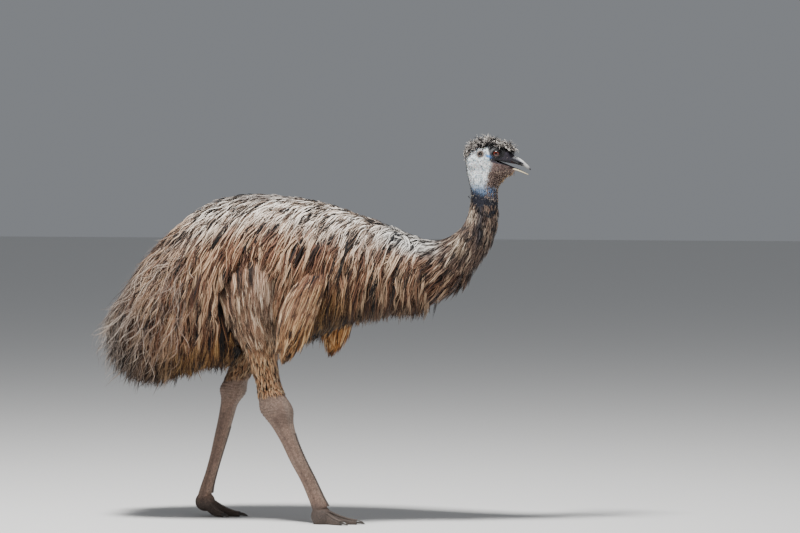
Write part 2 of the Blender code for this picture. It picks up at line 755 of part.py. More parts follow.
def toe(name, foot, side, heading, length, thick):
    """A toe from the ball of the foot down to the floor and along it, with a scute on each step."""
    x, height, sole = foot
    rows = []
    for f in (0.0, 0.2, 0.4, 0.6, 0.8, 1.0):
        top = TOE_TIP_RISE + (height + TOE_ROOT_RISE - TOE_TIP_RISE) * (1 - f) ** 1.6
        under = sole * (1 - f) ** 2 - SOLE_DEPTH * min(1.0, 3 * f)
        rows.append((f * length, top, f * length, under, thick * (1.0 - 0.25 * f)))

    def scute(step, angle):
        return TOE_SCUTE_RISE * max(0.0, math.cos(angle)) * (step % 2)

    tube = Tube(rows, origin=(x, side * LEG_SPREAD), heading=side * heading)
    return tube.solid(name, 10, 8, relief=scute)


def claw(name, foot, side, heading, length):
    """A claw that leaves the end of the toe and bends down to just above the floor."""
    rows = []
    for share, top, under, half_width in CLAW_RINGS:
        ahead = length + GAP + share * CLAW_LENGTH
        rows.append((ahead, top, ahead, under, half_width))
    tube = Tube(rows, origin=(foot[0], side * LEG_SPREAD), heading=side * heading)
    return tube.solid(name, 4, 6)


def foot(name, side_name, side):
    """The ball of the foot and its three toes, cut flat where they stand."""
    place = FEET[side_name]
    x, height, sole = place
    middle = (x, side * LEG_SPREAD, (height + sole) / 2 + SOLE_DEPTH)
    made = ball(name, middle, (*BALL_RADII, (height - sole) / 2 + TOE_ROOT_RISE), 10, 6)
    toes = [toe("toe", place, side, heading, length, thick) for _, heading, length, thick in TOES]
    stump = kept(leg_tube(side).solid("stump", LEG_STEPS, 10), FOOT_CUTS[side_name])
    combined(made, [*toes, stump], "UNION")
    floor = ((0.0, 0.0, -GAP / 2), (0.0, 0.0, 1.0))
    return kept(made, floor, FOOT_CUTS[side_name])


def build():
    for old in list(bpy.data.objects):
        bpy.data.objects.remove(old)
    parent = bpy.data.objects.new("emu", None)
    bpy.context.scene.collection.objects.link(parent)
    coat = material("coat feathers", (0.16, 0.11, 0.075), 0.85)
    neck_coat = material("neck feathers", (0.10, 0.08, 0.065), 0.85)
    bare_skin = material("bare blue skin", (0.32, 0.38, 0.42), 0.60)
    horn = material("bill horn", (0.10, 0.095, 0.09), 0.45)
    eye_gloss = material("eye", (0.18, 0.05, 0.02), 0.10)
    scales = material("leg scales", (0.20, 0.16, 0.135), 0.65)
    claw_horn = material("claw horn", (0.05, 0.045, 0.04), 0.40)

    trunk = Tube(TRUNK_ROWS)
    locks = trunk_locks(trunk) + neck_locks(trunk)
    finished(coated(trunk.solid("tail", TRUNK_STEPS, TRUNK_SIDES), locks, TAIL_CUT), coat, parent)
    torso = coated(trunk.solid("torso", TRUNK_STEPS, TRUNK_SIDES), locks, behind(TAIL_CUT), behind(NECK_CUT))
    sockets = []
    for side_name, side in SIDES:
        sockets.append(wing("socket", side, GAP))
        sockets.append(thigh("socket", side_name, side, GAP))
    finished(combined(torso, sockets, "DIFFERENCE", "MANIFOLD"), coat, parent)
    neck_base = trunk.solid("neck_base", TRUNK_STEPS, TRUNK_SIDES)
    finished(coated(neck_base, locks, NECK_CUT, behind(BEND_CUT)), neck_coat, parent)
    neck_middle = trunk.solid("neck_middle", TRUNK_STEPS, TRUNK_SIDES)
    finished(coated(neck_middle, locks, BEND_CUT, behind(THROAT_CUT)), neck_coat, parent)
    for one in locks:
        bpy.data.objects.remove(one)
    neck_upper = trunk.solid("neck_upper", TRUNK_STEPS, TRUNK_SIDES)
    finished(kept(neck_upper, THROAT_CUT, behind(HEAD_CUT)), bare_skin, parent)
    finished(head(trunk), neck_coat, parent)

    nostrils = [ball("nostril", at_side(NOSTRIL_PLACE, side), NOSTRIL_SIZE, 8, 4) for _, side in SIDES]
    finished(combined(upper_bill("beak_upper"), nostrils, "DIFFERENCE"), horn, parent)
    finished(lower_bill("beak_lower"), horn, parent)

    for side_name, side in SIDES:
        finished(eye("eye_" + side_name, side), eye_gloss, parent)
        finished(wing("wing_" + side_name, side), coat, parent)
        finished(thigh("leg_" + side_name, side_name, side), coat, parent)
        finished(shank("tarsus_" + side_name, side_name, side), scales, parent)
        finished(foot("foot_" + side_name, side_name, side), scales, parent)
        for toe_name, heading, length, _ in TOES:
            claw_name = "claw_" + side_name + "_" + toe_name
            finished(claw(claw_name, FEET[side_name], side, heading, length), claw_horn, parent)


build()
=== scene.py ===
"""A life-size emu in mid-stride: loose hanging plumage, a curly crest, bare blue neck skin and scaly legs."""

import math

import bmesh
import bpy
import numpy as np
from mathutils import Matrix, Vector
from mathutils.bvhtree import BVHTree
from mathutils.noise import noise


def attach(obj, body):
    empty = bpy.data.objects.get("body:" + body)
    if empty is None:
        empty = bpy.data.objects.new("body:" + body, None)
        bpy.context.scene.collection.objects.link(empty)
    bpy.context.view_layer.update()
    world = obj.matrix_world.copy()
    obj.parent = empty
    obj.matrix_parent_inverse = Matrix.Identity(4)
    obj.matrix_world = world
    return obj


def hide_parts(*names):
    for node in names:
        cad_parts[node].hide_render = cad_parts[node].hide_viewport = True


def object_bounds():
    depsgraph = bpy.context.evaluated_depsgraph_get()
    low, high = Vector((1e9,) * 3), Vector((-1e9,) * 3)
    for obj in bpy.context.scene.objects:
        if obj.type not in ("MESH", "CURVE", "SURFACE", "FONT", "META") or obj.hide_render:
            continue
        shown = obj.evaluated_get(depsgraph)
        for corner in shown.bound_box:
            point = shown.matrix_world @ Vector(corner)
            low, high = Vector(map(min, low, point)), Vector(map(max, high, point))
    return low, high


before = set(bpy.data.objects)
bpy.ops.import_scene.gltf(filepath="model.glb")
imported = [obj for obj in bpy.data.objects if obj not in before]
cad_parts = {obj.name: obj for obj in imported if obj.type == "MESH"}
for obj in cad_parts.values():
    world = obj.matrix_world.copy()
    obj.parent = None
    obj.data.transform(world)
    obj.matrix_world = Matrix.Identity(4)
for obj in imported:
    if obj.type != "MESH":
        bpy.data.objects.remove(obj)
cad_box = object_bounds()

# The trunk and neck: muscle and skin under the plumage, one long taper from the rump to the throat.
# Bare skin is loose and painted dark as shade; it is modelled as rings, each between a point on the back and
# one below.
# A ring: the back point, ahead and up, the point underneath, the half width and how far out it lies.
TRUNK = np.array([
    (-0.580, 0.635, -0.580, 0.612, 0.010, 0), (-0.568, 0.715, -0.555, 0.572, 0.060, 0),
    (-0.508, 0.817, -0.490, 0.546, 0.108, 0), (-0.415, 0.907, -0.405, 0.540, 0.145, 0),
    (-0.315, 0.968, -0.315, 0.540, 0.169, 0), (-0.210, 1.002, -0.210, 0.542, 0.184, 0),
    (-0.110, 1.003, -0.110, 0.552, 0.188, 0), (-0.010, 0.992, -0.010, 0.580, 0.178, 0),
    (0.080, 0.969, 0.080, 0.620, 0.158, 0), (0.170, 0.938, 0.170, 0.660, 0.130, 0),
    (0.260, 0.906, 0.260, 0.690, 0.103, 0), (0.325, 0.881, 0.340, 0.706, 0.085, 0),
    (0.378, 0.868, 0.402, 0.728, 0.070, 0), (0.418, 0.870, 0.462, 0.760, 0.060, 0),
    (0.450, 0.890, 0.505, 0.802, 0.052, 0), (0.477, 0.918, 0.542, 0.846, 0.046, 0),
    (0.492, 0.948, 0.566, 0.893, 0.0415, 0), (0.499, 0.977, 0.579, 0.938, 0.0385, 0),
    (0.502, 1.005, 0.583, 0.978, 0.0370, 0), (0.501, 1.030, 0.581, 1.015, 0.0365, 0),
    (0.496, 1.057, 0.583, 1.042, 0.0375, 0), (0.488, 1.090, 0.600, 1.066, 0.0375, 0),
    (0.488, 1.120, 0.612, 1.090, 0.0360, 0),
])
SKIN_INSET = 0.004
BODY_VOXEL = 0.012


def rings(rows, place):
    """The rows at places counted in rows, on a smooth curve through all of them."""
    last = len(rows) - 1
    place = np.clip(place, 0, last)
    first = np.minimum(place.astype(int), last - 1)
    t = (place - first)[:, None]
    near = [rows[np.clip(first + k, 0, last)] for k in (-1, 0, 1, 2)]
    return (
        (-t + 2 * t * t - t ** 3) * near[0]
        + (2 - 5 * t * t + 3 * t ** 3) * near[1]
        + (t + 4 * t * t - 3 * t ** 3) * near[2]
        + (t ** 3 - t * t) * near[3]
    ) / 2


def surface(rows, place, angle, lift=0.0):
    """Points on a limb at places along it and angles round it, from the row's first point."""
    x1, z1, x2, z2, half, across = rings(rows, place).T
    reach = np.hypot(x1 - x2, z1 - z2) / 2
    grow = (reach + lift) / reach * np.cos(angle)
    x = (x1 + x2) / 2 + (x1 - x2) / 2 * grow
    z = (z1 + z2) / 2 + (z1 - z2) / 2 * grow
    return np.stack([x, across + np.sin(angle) * (half + lift), z], -1)


def unit(vectors):
    return vectors / np.maximum(np.linalg.norm(vectors, axis=-1, keepdims=True), 1e-9)


def outward(rows, place, angle):
    """The way out of a limb's surface."""
    place = np.clip(place, 0.05, len(rows) - 1.05)
    along = surface(rows, place + 0.03, angle) - surface(rows, place - 0.03, angle)
    around = surface(rows, place, angle + 0.03) - surface(rows, place, angle - 0.03)
    out = unit(np.cross(around, along))
    away = surface(rows, place, angle) - surface(rows, place, angle, -0.005)
    return out * np.sign((out * away).sum(-1, keepdims=True))


def tube(rows, steps, sides, first=0.0, last=None, lift=0.0):
    """The points and faces of a closed limb, its faces in order along it."""
    last = len(rows) - 1 if last is None else last
    place = np.repeat(np.linspace(first, last, steps + 1), sides)
    angle = np.tile(np.arange(sides) * math.tau / sides, steps + 1)
    points = surface(rows, place, angle, lift)
    near = np.arange(steps)[:, None] * sides + np.arange(sides)
    after = np.arange(steps)[:, None] * sides + (np.arange(sides) + 1) % sides
    faces = np.stack([near, near + sides, after + sides, after], -1).reshape(-1, 4).tolist()
    faces.append(list(range(sides)))
    faces.append(list(range(steps * sides, (steps + 1) * sides))[::-1])
    return points, faces


def merged(parts):
    """Several lots of points and faces as one lot."""
    points, faces, count = [], [], 0
    for some, its_faces in parts:
        points += np.asarray(some).tolist()
        faces += [[k + count for k in face] for face in its_faces]
        count += len(some)
    return points, faces


def shown(name, data):
    """A new object in the scene."""
    made = bpy.data.objects.new(name, data)
    bpy.context.scene.collection.objects.link(made)
    return made


def solid(name, *parts):
    """One mesh object from several lots of points and faces."""
    points, faces = merged(parts)
    mesh = bpy.data.meshes.new(name)
    mesh.from_pydata(points, [], faces)
    shape = bmesh.new()
    shape.from_mesh(mesh)
    bmesh.ops.recalc_face_normals(shape, faces=shape.faces)
    shape.to_mesh(mesh)
    shape.free()
    return shown(name, mesh)


def baked(made):
    """Turns the object's modifiers into its mesh."""
    bpy.context.view_layer.update()
    result = bpy.data.meshes.new_from_object(made.evaluated_get(bpy.context.evaluated_depsgraph_get()))
    if not any(result.materials):
        result.materials.clear()
    made.modifiers.clear()
    made.data = result
    return made


def welded(made, voxel, smooth=4):
    """Runs the object's shells into one even skin."""
    step = made.modifiers.new("weld", "REMESH")
    step.mode = "VOXEL"
    step.voxel_size = voxel
    step = made.modifiers.new("ease", "SMOOTH")
    step.factor = 0.5
    step.iterations = smooth
    return baked(made)


RIGHT_LEG = np.array([
    (-0.130, 0.767, -0.180, 0.767, 0.012, -0.110), (-0.085, 0.748, -0.230, 0.748, 0.058, -0.113),
    (-0.078, 0.690, -0.245, 0.690, 0.068, -0.118), (-0.086, 0.630, -0.230, 0.630, 0.063, -0.118),
    (-0.093, 0.565, -0.201, 0.565, 0.051, -0.113), (-0.094, 0.500, -0.171, 0.495, 0.039, -0.106),
    (-0.084, 0.437, -0.153, 0.430, 0.033, -0.101), (-0.068, 0.400, -0.149, 0.386, 0.031, -0.099),
    (-0.050, 0.368, -0.141, 0.352, 0.031, -0.098), (-0.044, 0.336, -0.124, 0.322, 0.030, -0.098),
    (-0.038, 0.302, -0.103, 0.292, 0.025, -0.098), (-0.025, 0.257, -0.078, 0.250, 0.0215, -0.098),
    (0.000, 0.200, -0.049, 0.191, 0.0190, -0.098), (0.030, 0.142, -0.016, 0.132, 0.0180, -0.098),
    (0.055, 0.090, 0.007, 0.080, 0.0200, -0.098), (0.072, 0.058, 0.021, 0.044, 0.0240, -0.098),
])
LEFT_LEG = np.array([
    (-0.105, 0.772, -0.150, 0.765, 0.012, 0.110), (-0.060, 0.752, -0.210, 0.738, 0.058, 0.113),
    (-0.076, 0.697, -0.236, 0.680, 0.067, 0.118), (-0.116, 0.642, -0.250, 0.620, 0.061, 0.118),
    (-0.158, 0.582, -0.262, 0.558, 0.050, 0.113), (-0.191, 0.516, -0.277, 0.498, 0.039, 0.106),
    (-0.222, 0.454, -0.303, 0.440, 0.033, 0.101), (-0.240, 0.416, -0.317, 0.406, 0.032, 0.099),
    (-0.247, 0.384, -0.318, 0.375, 0.031, 0.098), (-0.267, 0.352, -0.322, 0.346, 0.029, 0.098),
    (-0.280, 0.310, -0.330, 0.303, 0.025, 0.098), (-0.295, 0.258, -0.342, 0.251, 0.0215, 0.098),
    (-0.313, 0.201, -0.355, 0.194, 0.0190, 0.098), (-0.330, 0.145, -0.371, 0.138, 0.0180, 0.098),
    (-0.342, 0.100, -0.388, 0.090, 0.0205, 0.098), (-0.346, 0.076, -0.397, 0.060, 0.0240, 0.098),
])
RIGHT_WING = np.array([
    (0.072, 0.812, 0.048, 0.812, 0.008, -0.130), (0.084, 0.780, 0.016, 0.784, 0.018, -0.158),
    (0.074, 0.722, -0.018, 0.726, 0.020, -0.194), (0.054, 0.655, -0.044, 0.660, 0.020, -0.212),
    (0.030, 0.595, -0.053, 0.600, 0.016, -0.218), (0.000, 0.552, -0.049, 0.554, 0.010, -0.220),
    (-0.026, 0.527, -0.040, 0.525, 0.003, -0.219),
])
LEFT_WING_SWING = 0.15
LEFT_WING = RIGHT_WING * (1, 1, 1, 1, 1, -1)
LEFT_WING[:, 0] += LEFT_WING_SWING * (0.812 - RIGHT_WING[:, 1])
LEFT_WING[:, 2] += LEFT_WING_SWING * (0.812 - RIGHT_WING[:, 3])
LEGS = {"right": RIGHT_LEG, "left": LEFT_LEG}
WINGS = {"right": RIGHT_WING, "left": LEFT_WING}
SIDES = {"right": -1, "left": 1}

body = solid(
    "body",
    tube(TRUNK, 110, 48, last=18, lift=-SKIN_INSET),
    *[tube(leg, 60, 24, last=7.5, lift=-SKIN_INSET) for leg in LEGS.values()],
    *[tube(wing, 30, 16, last=5.6, lift=-0.002) for wing in WINGS.values()],
)
welded(body, BODY_VOXEL)

# The head and bare neck: thin skin drawn over the skull, with lids, a sunken ear and the corner of the gape.
# The skull and throat are run together, then the mouth, eye openings and ears are cut and softened.
HEAD = np.array([
    (0.4850, 1.136, 0.4860, 1.118, 0.008, 0), (0.4900, 1.150, 0.4910, 1.096, 0.024, 0),
    (0.5050, 1.163, 0.5060, 1.076, 0.034, 0), (0.5300, 1.173, 0.5330, 1.062, 0.038, 0),
    (0.5600, 1.176, 0.5630, 1.056, 0.0385, 0), (0.5900, 1.172, 0.5900, 1.063, 0.036, 0),
    (0.6120, 1.162, 0.6120, 1.077, 0.029, 0), (0.6270, 1.148, 0.6310, 1.085, 0.021, 0),
    (0.6370, 1.136, 0.6420, 1.091, 0.013, 0),
])
HEAD_VOXEL = 0.0017
EYE_RADIUS = 0.0125
EYE_PLACE = np.array((0.585, 0.0270, 1.143))
LID_THICKNESS = 0.0018
EYE_OPENING = (0.0120, 0.0074)
EAR_PLACE = np.array((0.535, 0.0360, 1.143))
EAR_RADII = (0.0055, 0.0070, 0.0048)
EYE_CUT = 0.010
EYE_PLAY = 0.0002
GAPE = ((0.562, 1.128), (0.655, 1.1085), (0.655, 1.0930))


def ball(centre, radii, segments=48, bands=32):
    """The points and faces of an egg-shaped ball, with its poles to the sides."""
    centre = np.asarray(centre, float)
    polar = np.repeat(np.linspace(0, math.pi, bands + 1)[1:-1], segments)
    round_it = np.tile(np.arange(segments) * math.tau / segments, bands - 1)
    points = np.stack([np.sin(polar) * np.cos(round_it), np.cos(polar), np.sin(polar) * np.sin(round_it)], -1)
    points = np.concatenate([points, [(0, 1, 0), (0, -1, 0)]]) * radii + centre
    near = np.arange(bands - 2)[:, None] * segments + np.arange(segments)
    after = np.arange(bands - 2)[:, None] * segments + (np.arange(segments) + 1) % segments
    faces = np.stack([near, after, after + segments, near + segments], -1).reshape(-1, 4).tolist()
    top, bottom = len(points) - 2, len(points) - 1
    end = (bands - 2) * segments
    for k in range(segments):
        faces.append([top, (k + 1) % segments, k])
        faces.append([bottom, end + k, end + (k + 1) % segments])
    return points, faces


def prism(corners, half_width, middle=0.0):
    """A block that lies across the head, from corners given ahead and up."""
    count = len(corners)
    points = [(x, middle + end * half_width, z) for end in (-1, 1) for x, z in corners]
    faces = [list(range(count)), list(range(count, 2 * count))[::-1]]
    faces += [[k, (k + 1) % count, count + (k + 1) % count, count + k] for k in range(count)]
    return points, faces


def oval_pin(centre, half_length, radii, segments=32):
    """An oval pin that lies across the head."""
    turn = np.arange(segments) * math.tau / segments
    x, z = centre[0] + radii[0] * np.cos(turn), centre[2] + radii[1] * np.sin(turn)
    return prism(list(zip(x, z)), half_length, centre[1])


def cut_out(made, cutters):
    """Cuts closed forms out of an object."""
    for cutter in cutters:
        step = made.modifiers.new("cut", "BOOLEAN")
        step.operation = "DIFFERENCE"
        step.solver = "MANIFOLD"
        step.object = cutter
    baked(made)
    for cutter in cutters:
        bpy.data.objects.remove(cutter)


head = solid(
    "head_skin",
    tube(HEAD, 60, 48),
    tube(TRUNK, 50, 64, first=15.5, last=22),
    *[ball(EYE_PLACE * (1, side, 1), EYE_RADIUS + LID_THICKNESS) for side in (-1, 1)],
)
welded(head, HEAD_VOXEL, 10)
cutters = [solid("cut", prism(GAPE, 0.05))]
for side in (-1, 1):
    x, y, z = EYE_PLACE * (1, side, 1)
    cutters.append(solid("cut", oval_pin((x, y + side * EYE_RADIUS, z), EYE_CUT, EYE_OPENING)))
    cutters.append(solid("cut", ball((x, y, z), EYE_RADIUS + EYE_PLAY)))
    cutters.append(solid("cut", ball(EAR_PLACE * (1, side, 1), EAR_RADII, 24, 12)))
cut_out(head, cutters)
welded(head, HEAD_VOXEL, 2)

# The shanks and feet: horn-skinned bone and tendon, with small plates all over and three toes.
# Each is run together from the shank, the ball of the foot and the toes, and cut flat where it stands.
LEG_VOXEL = 0.0028
LEG_SPREAD = 0.098
FEET = {"right": (0.048, 0.045, -0.003), "left": (-0.372, 0.063, 0.022)}
TOES = (
    ("inner", math.radians(-29), 0.074, 0.0105),
    ("middle", math.radians(-1), 0.112, 0.0130),
    ("outer", math.radians(27), 0.080, 0.0105),
)
TOE_TIP_RISE = 0.0155
SOLE_DEPTH = 0.0030
CLAW_LENGTH = 0.027


def turned(points, side_name, heading):
    """Points of a toe, given from the ball of the foot straight ahead, put in their place."""
    side = SIDES[side_name]
    cos, sin = math.cos(side * heading), math.sin(side * heading)
    x, y, z = np.asarray(points).T
    across = side * LEG_SPREAD
    return np.stack([FEET[side_name][0] + x * cos - y * sin, across + x * sin + y * cos, z], -1)


def toe_rows(side_name, length, thick):
    _, height, sole = FEET[side_name]
    f = np.linspace(0, 1, 9)
    top = TOE_TIP_RISE + (height + 0.010 - TOE_TIP_RISE) * (1 - f) ** 1.6
    under = sole * (1 - f) ** 2 - SOLE_DEPTH * np.minimum(1, 3 * f)
    knuckles = 1 + 0.10 * np.cos(f * length / 0.026 * math.tau)
    wide = thick * (1.0 - 0.25 * f) * knuckles
    return np.stack([f * length, top, f * length, under, wide, 0 * f], -1)


# Where plumage ends and bare skin starts, in rows down each leg, and how each hock swells and folds.
BARE_FROM = {"right": 6.55, "left": 5.95}
HOCK_HEIGHT = {"right": 0.347, "left": 0.402}
HOCK_SWELL = 0.0060
FOLD_DEPTH = 0.0011
FOLD_PITCH = 0.0085
LEAST_HEIGHT = 0.0002


def foot_parts(side_name):
    x, height, sole = FEET[side_name]
    parts = [tube(LEGS[side_name], 160, 40, first=BARE_FROM[side_name])]
    for _, heading, length, thick in TOES:
        points, faces = tube(toe_rows(side_name, length, thick), 40, 24)
        parts.append((turned(points, side_name, heading), faces))
    middle = (x, SIDES[side_name] * LEG_SPREAD, (height + sole) / 2 + 0.003)
    parts.append(ball(middle, (0.032, 0.027, (height - sole) / 2 + 0.010), 32, 20))
    return parts


def corners_of(mesh):
    points = np.empty(3 * len(mesh.vertices), np.float32)
    mesh.vertices.foreach_get("co", points)
    return points.reshape(-1, 3).astype(float)


def normals_of(mesh):
    normals = np.empty(3 * len(mesh.vertices), np.float32)
    mesh.vertices.foreach_get("normal", normals)
    return normals.reshape(-1, 3)


shanks = solid("shanks", *foot_parts("right"), *foot_parts("left"))
welded(shanks, LEG_VOXEL, 5)
points, normals = corners_of(shanks.data), normals_of(shanks.data)
hock = np.where(points[:, 1] * SIDES["right"] > 0, HOCK_HEIGHT["right"], HOCK_HEIGHT["left"])
at_hock = np.exp(-((points[:, 2] - hock) / 0.024) ** 2)
points += normals * (HOCK_SWELL * at_hock * np.abs(normals[:, 0]))[:, None]
at_hock = np.exp(-((points[:, 2] - hock + 0.008) / 0.036) ** 2)
sway = 2.0 * np.sin(points[:, 0] * 90)
fold = np.sin(points[:, 2] * math.tau / FOLD_PITCH + sway + 1.5 * np.sin(points[:, 1] * 120))
points += normals * (FOLD_DEPTH * at_hock * fold)[:, None]
points[:, 2] = np.maximum(points[:, 2], LEAST_HEIGHT)
shanks.data.vertices.foreach_set("co", points.astype(np.float32).ravel())
shanks.data.update()

# One skin over all of it, its colours set by the same markings that the plumage reads.
# Loose skin lies under the feathers, painted dark as shade; blue-white skin is bare on the neck, and the legs
# are horny.
# The hem: how low the plumage hangs, ahead and up.
HEM = np.array([
    (-0.700, 0.540), (-0.660, 0.455), (-0.590, 0.437), (-0.500, 0.424), (-0.430, 0.450), (-0.290, 0.480),
    (-0.245, 0.500), (-0.215, 0.600), (-0.100, 0.590), (-0.040, 0.560), (0.040, 0.605), (0.110, 0.630),
    (0.260, 0.650), (0.345, 0.648), (0.412, 0.668), (0.485, 0.712), (0.520, 0.780), (0.600, 0.860),
])


def linear(code):
    """A colour's sRGB hex code as linear red, green and blue."""
    parts = np.array([int(code[k:k + 2], 16) for k in (1, 3, 5)]) / 255
    return np.where(parts <= 0.04045, parts / 12.92, ((parts + 0.055) / 1.055) ** 2.4)


def ramp(t, *codes):
    """Colours along a row of hex codes, at 0 to 1."""
    row = np.array([linear(code) for code in codes])
    t = np.clip(t, 0, 1) * (len(row) - 1)
    return np.stack([np.interp(t, np.arange(len(row)), row[:, k]) for k in range(3)], -1)


def step_up(value, low, high):
    t = np.clip((value - low) / (high - low), 0, 1)
    return t * t * (3 - 2 * t)


def blotch(points, scale, seed=0.0):
    """Smooth noise from -1 to 1 at points."""
    return np.array([noise(Vector(p) * scale + Vector((seed, seed, seed))) for p in points.tolist()])


def mixed(base, other, share):
    return base + (other - base) * np.clip(share, 0, 1)[:, None]


def ridge_at(x):
    return np.interp(x, TRUNK[:16, 0], TRUNK[:16, 1])


def hem_at(x):
    return np.interp(x, HEM[:, 0], HEM[:, 1])


def plumage(points, tone):
    """The colour of the plumage at points, for a tone from 0, darkest, to 1, lightest."""
    x, y, z = points.T
    colour = ramp(tone, "#0c0705", "#2f1b13", "#6b412c", "#a87858", "#e4bf9b")
    ridge = ridge_at(x)
    # Painted light: the top of the back is greyer and paler, partly its own colour and partly painted
    # sunlight.
    top = step_up(z, ridge - 0.125, ridge - 0.005) * step_up(x, -0.42, -0.30)
    top *= 1 - 0.8 * step_up(x, 0.14, 0.32)
    colour = mixed(colour, ramp(tone, "#0c0a09", "#3b322c", "#8b7768", "#cdbba8", "#fbf2e6"), top)
    tail = step_up(-x, 0.40, 0.64)
    colour = mixed(colour, ramp(tone, "#0b0706", "#281912", "#5b3b2c", "#95705a", "#d8c3ae"), 0.9 * tail)
    over = z - hem_at(x)
    golden = step_up(0.17 - over, 0.0, 0.08) * step_up(x, -0.50, -0.40) * step_up(-x, -0.22, -0.10)
    colour = mixed(colour, ramp(tone, "#0d0703", "#2f1809", "#5f3816", "#9a6630", "#cb9b5a"), 0.85 * golden)
    speckled = step_up(x, 0.18, 0.28) * step_up(z, ridge - 0.050, ridge - 0.016) * step_up(0.45 - x, 0, 0.04)
    specks = ramp(1.7 * tone - 0.35, "#0c0b0e", "#1d1c20", "#77716c", "#e2dbd0", "#fbf6ee")
    colour = mixed(colour, specks, speckled)
    neck = step_up(x, 0.36, 0.46) * step_up(z, 0.74, 0.84)
    colour = mixed(colour, ramp(tone, "#110e10", "#3a2e2b", "#6f584c", "#a48b78", "#d9c5ae"), 0.85 * neck)
    pale = np.exp(-((x - 0.478) / 0.020) ** 2 - ((z - 0.868) / 0.030) ** 2)
    pale = np.maximum(pale, np.exp(-((x - 0.505) / 0.010) ** 2 - ((z - 0.955) / 0.028) ** 2))
    colour = mixed(colour, ramp(tone, "#4e3c30", "#8d7560", "#c1a98d", "#e0cdb2", "#f4e8d4"), 0.8 * pale)
    middle = 0.537 - 0.20 * np.clip(0.90 - z, 0, 1)
    band = np.exp(-((x - middle) / 0.012) ** 2) * step_up(z, 0.84, 0.90)
    front = step_up(x - 0.45 * (z - 0.86), 0.545, 0.570) * step_up(z, 0.77, 0.81) * step_up(0.95 - z, 0, 0.04)
    high = step_up(z, 0.985, 1.01)
    navy = np.maximum(np.maximum(band, front), 0.85 * high)
    colour = mixed(colour, ramp(tone, "#060609", "#101018", "#1e1e29", "#3c3a40", "#80766e"), 0.92 * navy)
    # Painted shade: below the top of the back the plumage is darker, and the low front plumage is darker
    # still near the hem.
    low = step_up(0.24 - over, 0.0, 0.20) * step_up(x, -0.05, 0.10) * (1 - neck)
    return colour * (1 - 0.50 * tail - 0.24 * (1 - top) - 0.20 * low)[:, None]


def hem_shade(points, tone):
    """How much darker plumage of a tone is close above its hem, where little light reaches."""
    over = points[:, 2] - hem_at(points[:, 0])
    tail = step_up(-points[:, 0], 0.30, 0.50)
    under = step_up(0.055 - over + 0.095 * tail, 0.0, 0.060 + 0.05 * tail) * (points[:, 2] < 0.80)
    return (1 - (0.97 - 0.55 * tone) * under)[:, None]


def bare(points):
    """The colour of bare skin on the head and neck."""
    x, y, z = points.T
    y = np.abs(y)
    fine = blotch(points, 330) * 0.5 + blotch(points, 120, 3.0) * 0.5
    colour = ramp(0.5 + 1.3 * fine, "#8fa2ac", "#edf2f3", "#ffffff")
    blue = step_up(1.066 - z + 0.010 * fine, 0, 0.040)
    colour = mixed(colour, ramp(0.5 + 0.9 * fine, "#33405a", "#6c84a6", "#a9c2df"), blue)
    dark = step_up(1.032 - z + 0.014 * fine + 0.35 * (0.548 - x), 0, 0.030)
    colour = mixed(colour, linear("#20212d"), dark)
    bright = np.exp(-((x - 0.566) / 0.008) ** 2 - ((z - 1.030) / 0.010) ** 2)
    colour = mixed(colour, linear("#86b2ea"), 0.9 * bright)
    throat = step_up(x - 0.22 * (z - 1.09) + 0.004 * fine, 0.556, 0.574) * step_up(z, 1.030, 1.050)
    colour = mixed(colour, ramp(0.5 + fine, "#46342f", "#77605a", "#8f7a72"), throat)
    eye = np.hypot((x - 0.589) / 1.5, z - 1.1435)
    line = GAPE[0][1] + (x - GAPE[0][0]) * -0.22
    face_mask = step_up(x + 0.2 * (z - 1.14), 0.558, 0.566) * step_up(z, line - 0.013, line - 0.006)
    face_mask *= step_up(1.172 - z, 0, 0.004)
    colour = mixed(colour, ramp(0.5 + fine, "#0e0c11", "#26212a", "#373039"), face_mask)
    colour = mixed(colour, linear("#080608"), step_up(0.0165 - eye, 0, 0.004))
    brow = step_up(x, 0.557, 0.563) * step_up(z, 1.1475, 1.1510) * step_up(1.170 - z, 0, 0.004)
    colour = mixed(colour, linear("#080608"), brow)
    stripe = np.exp(-((z - line - 0.002) / 0.0045) ** 2) * step_up(x, 0.560, 0.568)
    colour = mixed(colour, linear("#0d0b0e"), 0.9 * stripe)
    spot = np.exp(-((x - 0.5590) / 0.0085) ** 2 - ((z - 1.1360 + 0.25 * (x - 0.559)) / 0.0042) ** 2)
    colour = mixed(colour, linear("#3f7fc4"), 1.15 * spot)
    ear = np.hypot((x - EAR_PLACE[0]) / 1.05, z - EAR_PLACE[2] + 0.002 * fine)
    colour = mixed(colour, linear("#5a463a"), step_up(0.0155 - ear, 0, 0.007))
    # Painted shade: the middle of the sunken ear's opening is near black.
    colour = mixed(colour, linear("#120e0d"), step_up(0.0082 - ear, 0, 0.003))
    colour = mixed(colour, linear("#1d1a1b"), step_up(z, 1.160, 1.167))
    # Inside the gape: the flesh's own red, painted dark as shade.
    inside = (np.abs(z - line + 0.004) < 0.0125) & (y < 0.021) & (x > 0.575)
    colour[inside] = linear("#2c1413")
    return colour


def noted(mesh, name, kind, values):
    """Keeps a value for each point of a mesh."""
    field = {"FLOAT": "value", "FLOAT_VECTOR": "vector", "FLOAT_COLOR": "color"}[kind]
    mesh.attributes.new(name, kind, "POINT").data.foreach_set(field, values.astype(np.float32).ravel())


def tinted(mesh, colours):
    """Keeps a colour for each point, which the finishes read."""
    noted(mesh, "tint", "FLOAT_COLOR", np.c_[colours, np.ones(len(colours))])


def without(mesh, *names):
    """Drops what was kept for each point under these names."""
    for name in names:
        if name in mesh.attributes:
            mesh.attributes.remove(mesh.attributes[name])


def joined(name, *objects):
    """One object from several, each with its own material slot."""
    with bpy.context.temp_override(active_object=objects[0], selected_editable_objects=list(objects)):
        bpy.ops.object.join()
    objects[0].name = name
    return objects[0]


